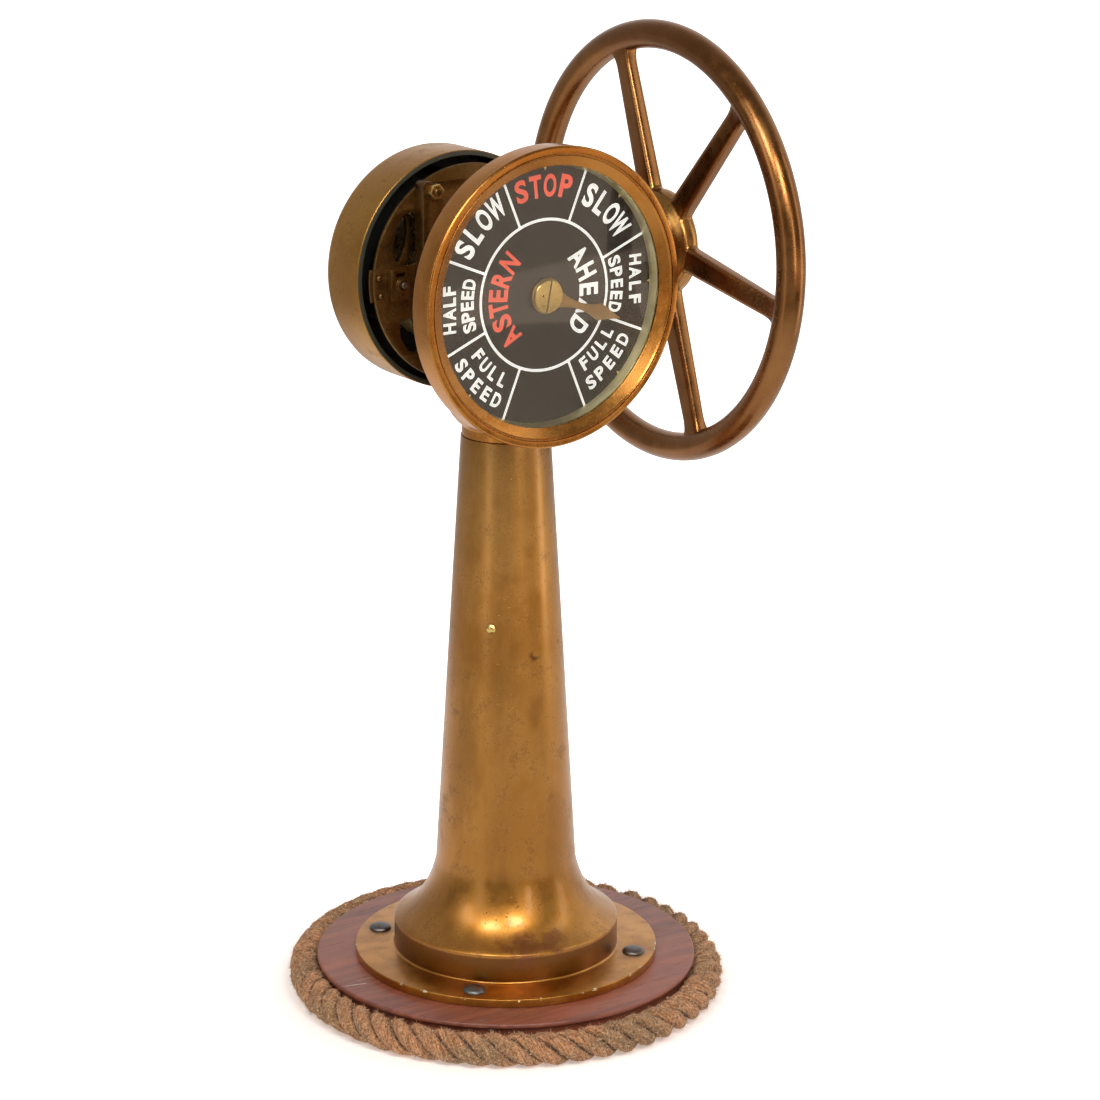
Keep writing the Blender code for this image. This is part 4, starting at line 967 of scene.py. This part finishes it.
def dial_lines():
    """The painted ring and the lines between the orders, as one white layer."""
    ring = [ring_points((RING_R + edge) * MM, 160) for edge in (1.4, -1.4)]
    bm = flat(ring, PAINT_LOW, PAINT_HIGH)
    for quarter in range(4):
        for lean in (-22.5, 22.5):
            bearing = radians(90 * quarter + lean)
            out = Vector((sin(bearing), cos(bearing)))
            side = Vector((out.y, -out.x)) * 1.3
            start, end = out * (RING_R + 0.6), out * 130
            corners = [start - side, start + side, end + side, end - side]
            line = flat([[(c.x * MM, c.y * MM) for c in corners]], PAINT_LOW, PAINT_HIGH)
            added(bm, line)
    put("dial_lines", bm, DIAL, DIAL_WHITE, slot="dial_black")


def letter(char, width, height):
    """One bold letter centred on the origin, this wide and high."""
    text = bpy.data.curves.new("letter", "FONT")
    text.body = char
    text.size = 1.0
    text.offset = 0.034
    text.resolution_u = 6
    text.extrude = (PAINT_HIGH - PAINT_LOW) / 2
    bm = meshed(bpy.data.objects.new("letter", text))
    low = [min(v.co[k] for v in bm.verts) for k in range(2)]
    high = [max(v.co[k] for v in bm.verts) for k in range(2)]
    center = Vector(((low[0] + high[0]) / 2, (low[1] + high[1]) / 2, 0))
    size = (width / (high[0] - low[0]), height / (high[1] - low[1]), 1)
    bmesh.ops.translate(bm, verts=bm.verts, vec=-center)
    bmesh.ops.scale(bm, verts=bm.verts, vec=size)
    return bm


NARROW = {"L": 0.82, "F": 0.86, "E": 0.88, "S": 0.98, "W": 1.42, "A": 1.12, "N": 1.06, "O": 1.06}


def word(bm, text, radius, bearings, height, width, inward=False, straight=False):
    """Adds letters at these bearings, in degrees clockwise from STOP; sizes are in millimetres.

    Inward turns their tops to the hub, and straight sets them upright on one straight line.
    """
    for char, bearing in zip(text, bearings):
        shape = letter(char, width * NARROW.get(char, 1.0) * MM, height * MM)
        level = 90.0 if bearing < 180 else -90.0
        turn = -radians(level if straight else bearing) + (pi if inward else 0)
        out = radius * MM
        if straight:
            out /= cos(radians(bearing - (90 if bearing < 180 else 270)))
        at = Vector((out * sin(radians(bearing)), out * cos(radians(bearing)), PAINT_MIDDLE))
        place = Matrix.Translation(at) @ Matrix.Rotation(turn, 4, "Z")
        bmesh.ops.transform(shape, matrix=place, verts=shape.verts)
        added(bm, shape)


def spread(middle_bearing, step, count):
    return [middle_bearing + step * (k - (count - 1) / 2) for k in range(count)]


def dial_words():
    white = bmesh.new()
    word(white, "SLOW", 109, spread(-45.4, 9.2, 4), 24.5, 13.4)
    word(white, "SLOW", 108.5, spread(43.4, 8.8, 4), 24.5, 13.2)
    word(white, "HALF", 111.5, (259.9, 266.9, 273.1, 278.8), 14.8, 10.6, straight=True)
    word(white, "SPEED", 91, spread(269.9, 6.8, 5), 15, 9.8)
    word(white, "HALF", 110.4, (78.1, 84.8, 91.8, 98.8), 14.8, 10.6, straight=True)
    word(white, "SPEED", 88, spread(89.2, 7.7, 5), 15, 9.8)
    word(white, "FULL", 93.5, spread(224.8, -8.3, 4), 14.4, 9.8, inward=True)
    word(white, "SPEED", 114, spread(224.8, -7.3, 5), 14.6, 10.4, inward=True)
    word(white, "FULL", 89.5, spread(134.2, -8.5, 4), 14.4, 9.8, inward=True)
    word(white, "SPEED", 111.2, spread(134.8, -7.2, 5), 14.6, 10.4, inward=True)
    word(white, "AHEAD", 53.5, spread(90.2, 20.2, 5), 22.5, 14.0)
    put("dial_words_white", white, DIAL, DIAL_WHITE, slot="dial_black")
    red = bmesh.new()
    word(red, "STOP", 108.9, (-14.6, -5.6, 3.4, 13.4), 23, 14.2)
    word(red, "ASTERN", 55, (226, 246.5, 262, 276, 293, 312), 22.5, 14.0)
    put("dial_words_red", red, DIAL, DIAL_RED, slot="dial_black")


def pointer():
    lean = Matrix.Rotation(-radians(20.5), 4, "Z")
    blade = [(16.0, 8.2, 3), (24, 5.6, 10), (36, 3.4, 20), (46, 3.5, 20), (57, 5.4, 12)]
    blade += [(68.5, 8.8, 2), (80, 4.8, 20), (96.5, 0, 0.5)]
    hub = [(18.0 * cos(radians(a)), 18.0 * sin(radians(a))) for a in range(30, 331, 10)]
    far_side = [(x, -y, r) for x, y, r in reversed(blade[:-1])]
    outline = rounded(blade + far_side + [(x, -y) for x, y in hub])
    bm = flat([outline, ring_points(4.3 * MM, 24)], 0.0695, 0.0718, 0.0005)
    bmesh.ops.transform(bm, matrix=lean, verts=bm.verts)
    put("pointer_hand", bm, DIAL, POINTER_BRASS, "pointer_group", ("pointer",), "brass")

    screw = slotted(16.7, 0.0721, 0.0750, 1.6, 11)
    put("hub_screw_head", screw, DIAL, [HAND_BRASS, SHADE_BLACK], "pointer_group", ("hub_screw",), "brass")


def slotted(radius, low, high, slot, lean_deg):
    """A low screw head with a chamfer, and with a slot and a small lock hole whose walls are painted black
    as shade.
    """
    edge = [(0, high / MM), (radius, high / MM, 1.6), (radius, low / MM, 0.2), (0, low / MM)]
    head = as_object("screw_head", turned(rounded(edge, False), 96))
    reach = radius * 1.2
    corners = [(-slot / 2, -reach), (slot / 2, -reach), (slot / 2, reach), (-slot / 2, reach)]
    groove = flat([[(x * MM, y * MM) for x, y in corners]], high - 0.0012, high + 0.001)
    bmesh.ops.rotate(groove, verts=groove.verts, matrix=Matrix.Rotation(-radians(lean_deg), 3, "Z"))
    hole = flat([ring_points(1.1 * MM, 20, (-0.0072, 0.0012))], high - 0.0012, high + 0.001)
    cutters = [as_object("groove", groove), as_object("lock_hole", hole)]
    for cutter in cutters:
        step = head.modifiers.new("cut", "BOOLEAN")
        step.operation = "DIFFERENCE"
        step.solver = "EXACT"
        step.object = cutter
        bpy.context.scene.collection.objects.link(cutter)
    bm = meshed(head)
    for cutter in cutters:
        bpy.data.objects.remove(cutter)
    # The walls of the slot and the lock hole take black as painted shade.
    for face in bm.faces:
        at = face.calc_center_median()
        if low + 0.0003 < at.z < high - 0.0003 and at.xy.length < radius * MM * 0.92:
            face.material_index = 1
    return bm


# ---------------------------------------------------------------- rear of the head
def rear():
    """The cover cup, the mechanism plate, and what stands on them."""
    here = {"place": DIAL}
    outline = [(118.3, -84.0, 0.8), (123.3, -84.0, 0.8), (123.3, -150.0, 13), (0, -150.0)]
    outline += [(0, -147.0), (120.3, -147.0, 10), (120.3, -88.0, 0.5), (118.3, -88.0, 0.5)]
    outline = rounded(outline[:4], False) + rounded(outline[4:], False)
    # The cover's inner side takes black as painted shade.
    bm = turned(outline, 160, in_cover)
    put("cover_cup", bm, materials=[COVER_BRASS, SHADE_BLACK], stands_for=("rear_cover",), **here)
    rim = rounded([(117.9, -83.4, 0.8), (122.4, -83.4, 0.8), (122.4, -84.1), (117.9, -84.1)])
    put("cover_rim_lip", turned(rim, 160), DIAL, RIM_BLACK)

    kidney = [(-60, 18, 3), (-60, 64, 4), (-66, 69, 4), (-76, 67, 5), (-83, 56, 6)]
    kidney += [(-87, 44, 6), (-89, 32, 6), (-86, 21, 4), (-78, 15.5, 4), (-66, 15, 3)]
    lower = [(-66, -40, 3), (-82, -43, 5), (-80, -60, 5), (-70, -75, 5), (-60, -76, 3), (-60, -56, 4)]
    holes = [rounded(o) for o in (kidney, lower)]
    holes += [[(-x, y) for x, y in reversed(o)] for o in list(holes)]
    # (radius, x, y) in millimetres: spindle, detent pin, striker post, two studs and two clip screws.
    round_holes = [(4.3, 0, 0), (3.3, -84, -2), (3.3, 45, -60), (4.3, -50, 91), (4.3, 50, 91)]
    round_holes += [(2, -105.5, 5.5), (2, -103.5, -13.2)]
    holes += [ring_points(r * MM, 24, (x * MM, y * MM)) for r, x, y in round_holes]
    plate = flat([ring_points(112 * MM, 160)] + holes, -0.0750, -0.0705, 0.0008)
    put("mechanism_disc", plate, materials=PLATE_BRASS, stands_for=("mechanism_plate",), **here)

    for node in ("cover_clip", "detent_bracket"):
        dressed(node, PLATE_BRASS, "brass", 0.6)
    for node in ("frame_nut_left", "frame_nut_right"):
        dressed(node, HAND_BRASS, "brass", 0.7)
    for node in ("frame_stud_left", "frame_stud_right", "clip_screw_1", "clip_screw_2"):
        dressed(node, PLATE_BRASS, "brass", 0.3)
    for k in range(1, 4):
        dressed(f"cover_pillar_{k}", PLATE_BRASS, "brass", 0.5)
        dressed(f"cover_screw_{k}", PALE_BRASS, "pale_brass", 0.6)
    for k in range(1, 5):
        dressed(f"case_screw_{k}", DARK_STEEL, "steel", 0.4)
    dressed("detent_pin", SHAFT_STEEL, "steel", 0.4)
    dressed("detent_spring", SHAFT_STEEL, "steel", 0)
    dressed("striker_post", SHAFT_STEEL, "steel", 0.4)
    dressed("gong", PALE_BRASS, "pale_brass", 0.4)
    dressed("gong_post", PLATE_BRASS, "brass", 0.5)
    dressed("gong_nut", GEAR_BRASS, "pale_brass", 0.6)
    dressed("detent_lever", PLATE_BRASS, "brass", 0.6, "detent")
    dressed("striker", SHAFT_STEEL, "steel", 0.4, "hammer")


def in_cover(radius, height):
    """Whether a place on the cover's outline belongs to its inner side, which is painted black as shade."""
    past_r, past_h = radius - 0.1103, -0.137 - height
    if past_r > 0 and past_h > 0:
        return sqrt(past_r**2 + past_h**2) < 0.0115
    return radius < 0.1206 and height > -0.1485


# ---------------------------------------------------------------- train and handwheel
def train():
    """The turning shafts, gears and wheels, from their CAD shapes."""
    dressed("pointer_spindle", SHAFT_STEEL, "steel", 0.4, "pointer_group")
    dressed("spindle_gear", GEAR_BRASS, "pale_brass", 0.2, "pointer_group")
    dressed("star_wheel", PLATE_BRASS, "brass", 0.6, "pointer_group")
    dressed("layshaft", SHAFT_STEEL, "steel", 0.4, "layshaft_group")
    dressed("layshaft_gear", GEAR_BRASS, "pale_brass", 0.2, "layshaft_group")
    dressed("bevel_gear", GEAR_BRASS, "pale_brass", 0.2, "layshaft_group")
    dressed("bevel_pinion", GEAR_BRASS, "pale_brass", 0.2, "wheel")
    dressed("chain_sprocket", DARK_STEEL, "steel", 0.3, "wheel")
    dressed("shaft_collar", SHAFT_STEEL, "steel", 0.4, "wheel")
    dressed("wheel_shaft", SHAFT_STEEL, "steel", 0.6, "wheel")
    dressed("shaft_bearing", HEAD_BRASS, "brass", 1)
    dressed("shaft_housing", HEAD_BRASS, "brass", 1)


def superellipse(half_width, half_thick, count=32, power=5.5):
    found = []
    for k in range(count):
        angle = 2 * pi * k / count
        x, y = cos(angle), sin(angle)
        size = (abs(x) ** power + abs(y) ** power) ** (-1 / power)
        found.append((half_width * x * size, half_thick * y * size))
    return found


def spoke_mesh(bm, swing):
    """One tapered spoke with a flare at each end; local X is the wheel's down, Z its axle."""
    rows = []
    steps = 44
    start, end = 26, 207
    for k in range(steps + 1):
        out = start + (end - start) * k / steps
        near = max(0.0, 1 - (out - start) / 38) ** 2
        far = max(0.0, (out - 184) / 20) ** 2
        t = (out - start) / (end - start)
        width = 27.5 - 6.5 * t + 14 * near + 9 * far
        thick = 17 - 3 * t - 1.5 * near + 4.5 * far
        turn = Matrix.Rotation(swing, 3, "Z")
        row = []
        for across, deep in superellipse(width / 2, thick / 2):
            row.append(bm.verts.new(turn @ Vector((out * MM, across * MM, deep * MM))))
        rows.append(row)
    count = len(rows[0])
    for a, b in zip(rows, rows[1:]):
        for k in range(count):
            j = (k + 1) % count
            bm.faces.new((a[k], a[j], b[j], b[k]))
    bm.faces.new(rows[0][::-1])
    bm.faces.new(rows[-1])


def handwheel():
    """The hub and spokes blended into one casting, the rim they meet, and the hexagonal nut."""
    outline = [(8.3, 12, 0.8), (30, 12, 2.5), (31.5, 8.8, 2), (55, 8.6, 4), (56, 0, 4)]
    outline += [(54, -8.6, 4), (44, -14, 20), (37, -23, 20), (34, -42, 1.5), (8.3, -42)]
    hub = turned(rounded(outline), 128)
    for k in range(6):
        # The wheel's plane here has local X pointing down and local Y to the back.
        spoke_mesh(hub, radians(161 + 60 * k))
    blended = as_object("hub_and_spokes", hub)
    remesh = blended.modifiers.new("blend", "REMESH")
    remesh.mode = "VOXEL"
    remesh.voxel_size = 0.0015
    smooth = blended.modifiers.new("soften", "SMOOTH")
    smooth.factor = 0.5
    smooth.iterations = 3
    casting = meshed(blended)
    put("hub_and_spokes", casting, WHEEL, WHEEL_BRONZE, "wheel", ("handwheel",), "red_brass", smooth=180)

    ring_radius, tube_radius = 214, 14.8
    around = [2 * pi * k / 40 for k in range(40)]
    rim = [(ring_radius + tube_radius * cos(a), tube_radius * sin(a)) for a in around]
    rim = turned([(r * MM, h * MM) for r, h in rim], 256)
    put("wheel_rim", rim, WHEEL, WHEEL_BRONZE, "wheel", slot="red_brass", smooth=180)
    nut = flat([hexagon(30, 8, 1.5), ring_points(8.3 * MM, 48)], 0.0123, 0.0233, 0.0012)
    put("wheel_nut_hex", nut, WHEEL, WHEEL_BRONZE, "wheel", ("wheel_nut",))


# ---------------------------------------------------------------- studio
CAMERA_AT = (-1.9289, -2.8091, 1.4738)
TOWARDS_CAMERA = Vector((-0.566, -0.824, 0.0))
TO_THE_LEFT = Vector((-0.824, 0.566, 0.0))
FLOOR_LINE = 3.20


def view():
    """The camera, and colours shown as they are."""
    camera = bpy.data.cameras.new("camera")
    camera.lens = 113.14
    camera.sensor_width = 36
    camera.shift_x = 0.0402
    camera.shift_y = -0.0341
    camera.clip_end = 60
    seen = bpy.data.objects.new("camera", camera)
    seen.location = CAMERA_AT
    seen.rotation_euler = (radians(74.331), 0, radians(-34.476))
    bpy.context.scene.collection.objects.link(seen)
    bpy.context.scene.camera = seen
    bpy.context.scene.view_settings.view_transform = "Standard"
    bpy.context.scene.view_settings.look = "None"


def ground():
    """A white floor that takes shadows; the metal and the glass see it in other tones."""
    bm = bmesh.new()
    bmesh.ops.create_grid(bm, x_segments=1, y_segments=1, size=25)
    mesh = bpy.data.meshes.new("floor")
    bm.to_mesh(mesh)
    bm.free()
    material, n, shader = new_material("white_floor")
    where = n.object_place()
    far = n.between(n.vector_length(where), 0.240, 0.385)
    shader.inputs["Base Color"].default_value = rgb(0.96, 0.90, 0.87)
    shader.inputs["Roughness"].default_value = 0.6
    shader.inputs["Specular IOR Level"].default_value = 0.2
    shader.inputs["Emission Color"].default_value = rgb(1, 0.985, 0.97)
    n.set(shader, "Emission Strength", n.math("MULTIPLY_ADD", far, 0.95, 0.29))
    # In reflections it is pale near the object, dim ahead on the right, and warm beyond FLOOR_LINE.
    front = n.dot(where, TOWARDS_CAMERA)
    right = n.dot(where, -TO_THE_LEFT)
    near = n.between(n.vector_length(where), 1.9, 0.8)
    beside = n.between(n.dot(where, Vector((0.90, 0.43, 0))), 0.7, 1.5)
    light = n.math("MAXIMUM", near, n.math("MULTIPLY", beside, 0.4))
    pale = n.mix(light, rgb(0.44, 0.42, 0.40), rgb(1.0, 0.97, 0.95))
    reach = n.math("ADD", right, n.math("MULTIPLY", front, 0.30))
    past = n.between(reach, FLOOR_LINE, FLOOR_LINE + 0.10)
    dim = n.mix(past, rgb(0.03, 0.03, 0.025), rgb(1.15, 0.88, 0.66))
    lies_ahead = n.math("MULTIPLY", n.between(reach, 1.6, 2.3), n.between(front, 0.0, 0.4))
    seen_color = n.mix(lies_ahead, pale, dim)
    glow = n.add("ShaderNodeEmission", {"Color": seen_color, "Strength": 1.0})
    direct = n.add("ShaderNodeLightPath").outputs["Is Camera Ray"]
    either = n.add("ShaderNodeMixShader", {0: direct, 1: glow.outputs[0], 2: shader.outputs[0]})
    n.set(material.node_tree.nodes["Material Output"], "Surface", either.outputs[0])
    mesh.materials.append(material)
    floor = bpy.data.objects.new("floor", mesh)
    # Just below the object, so that the two faces don't share one plane.
    floor.location.z = -0.2 * MM
    bpy.context.scene.collection.objects.link(floor)


def surroundings():
    """White to the camera; to everything else soft grey walls with a bright one on the right."""
    world = bpy.data.worlds.new("studio")
    bpy.context.scene.world = world
    world.use_nodes = True
    n = Nodes(world.node_tree)
    background = world.node_tree.nodes["Background"]
    toward = n.add("ShaderNodeTexCoord").outputs["Generated"]
    behind = n.dot(toward, -TOWARDS_CAMERA)
    beside = n.between(n.dot(toward, Vector((0.90, 0.43, 0))), 0.3, 0.9)
    lit = n.mix(n.between(behind, -0.35, 0.75), rgb(0.20, 0.19, 0.18), rgb(0.46, 0.45, 0.44))
    lit = n.mix(beside, lit, rgb(0.95, 0.93, 0.92))
    direct = n.add("ShaderNodeLightPath").outputs["Is Camera Ray"]
    n.set(background, "Color", n.mix(direct, lit, rgb(1, 1, 1)))


def lamps():
    """Area lights round the object, all aimed at its middle."""
    for name, left, front, up, power, size in (
        ("softbox_left", 2.3, 1.5, 1.9, 10, (0.8, 1.4)),
        ("softbox_high_left", 0.75, 1.7, 2.4, 26, (0.8, 0.7)),
        ("softbox_high_right", -0.55, 2.1, 2.2, 34, (0.8, 0.7)),
        ("strip_left", 0.85, 1.05, 0.72, 1.3, (0.32, 1.30)),
        ("strip_front", -1.30, 1.90, 1.05, 6.0, (0.30, 1.20)),
        ("strip_right", -1.20, 0.08, 0.80, 2.4, (0.26, 1.40)),
    ):
        light = bpy.data.lights.new(name, "AREA")
        light.shape = "RECTANGLE"
        light.size, light.size_y = size
        light.energy = power
        light.color = (1.0, 0.97, 0.94)
        lamp = bpy.data.objects.new(name, light)
        lamp.location = TO_THE_LEFT * left + TOWARDS_CAMERA * front + Vector((0, 0, up))
        aim = Vector((0, 0, 0.60)) - lamp.location
        lamp.rotation_euler = aim.to_track_quat("-Z", "Y").to_euler()
        bpy.context.scene.collection.objects.link(lamp)


view()
ground()
surroundings()
lamps()
base()
rope()
head()
case_and_bezel()
dial_lines()
dial_words()
pointer()
rear()
train()
handwheel()
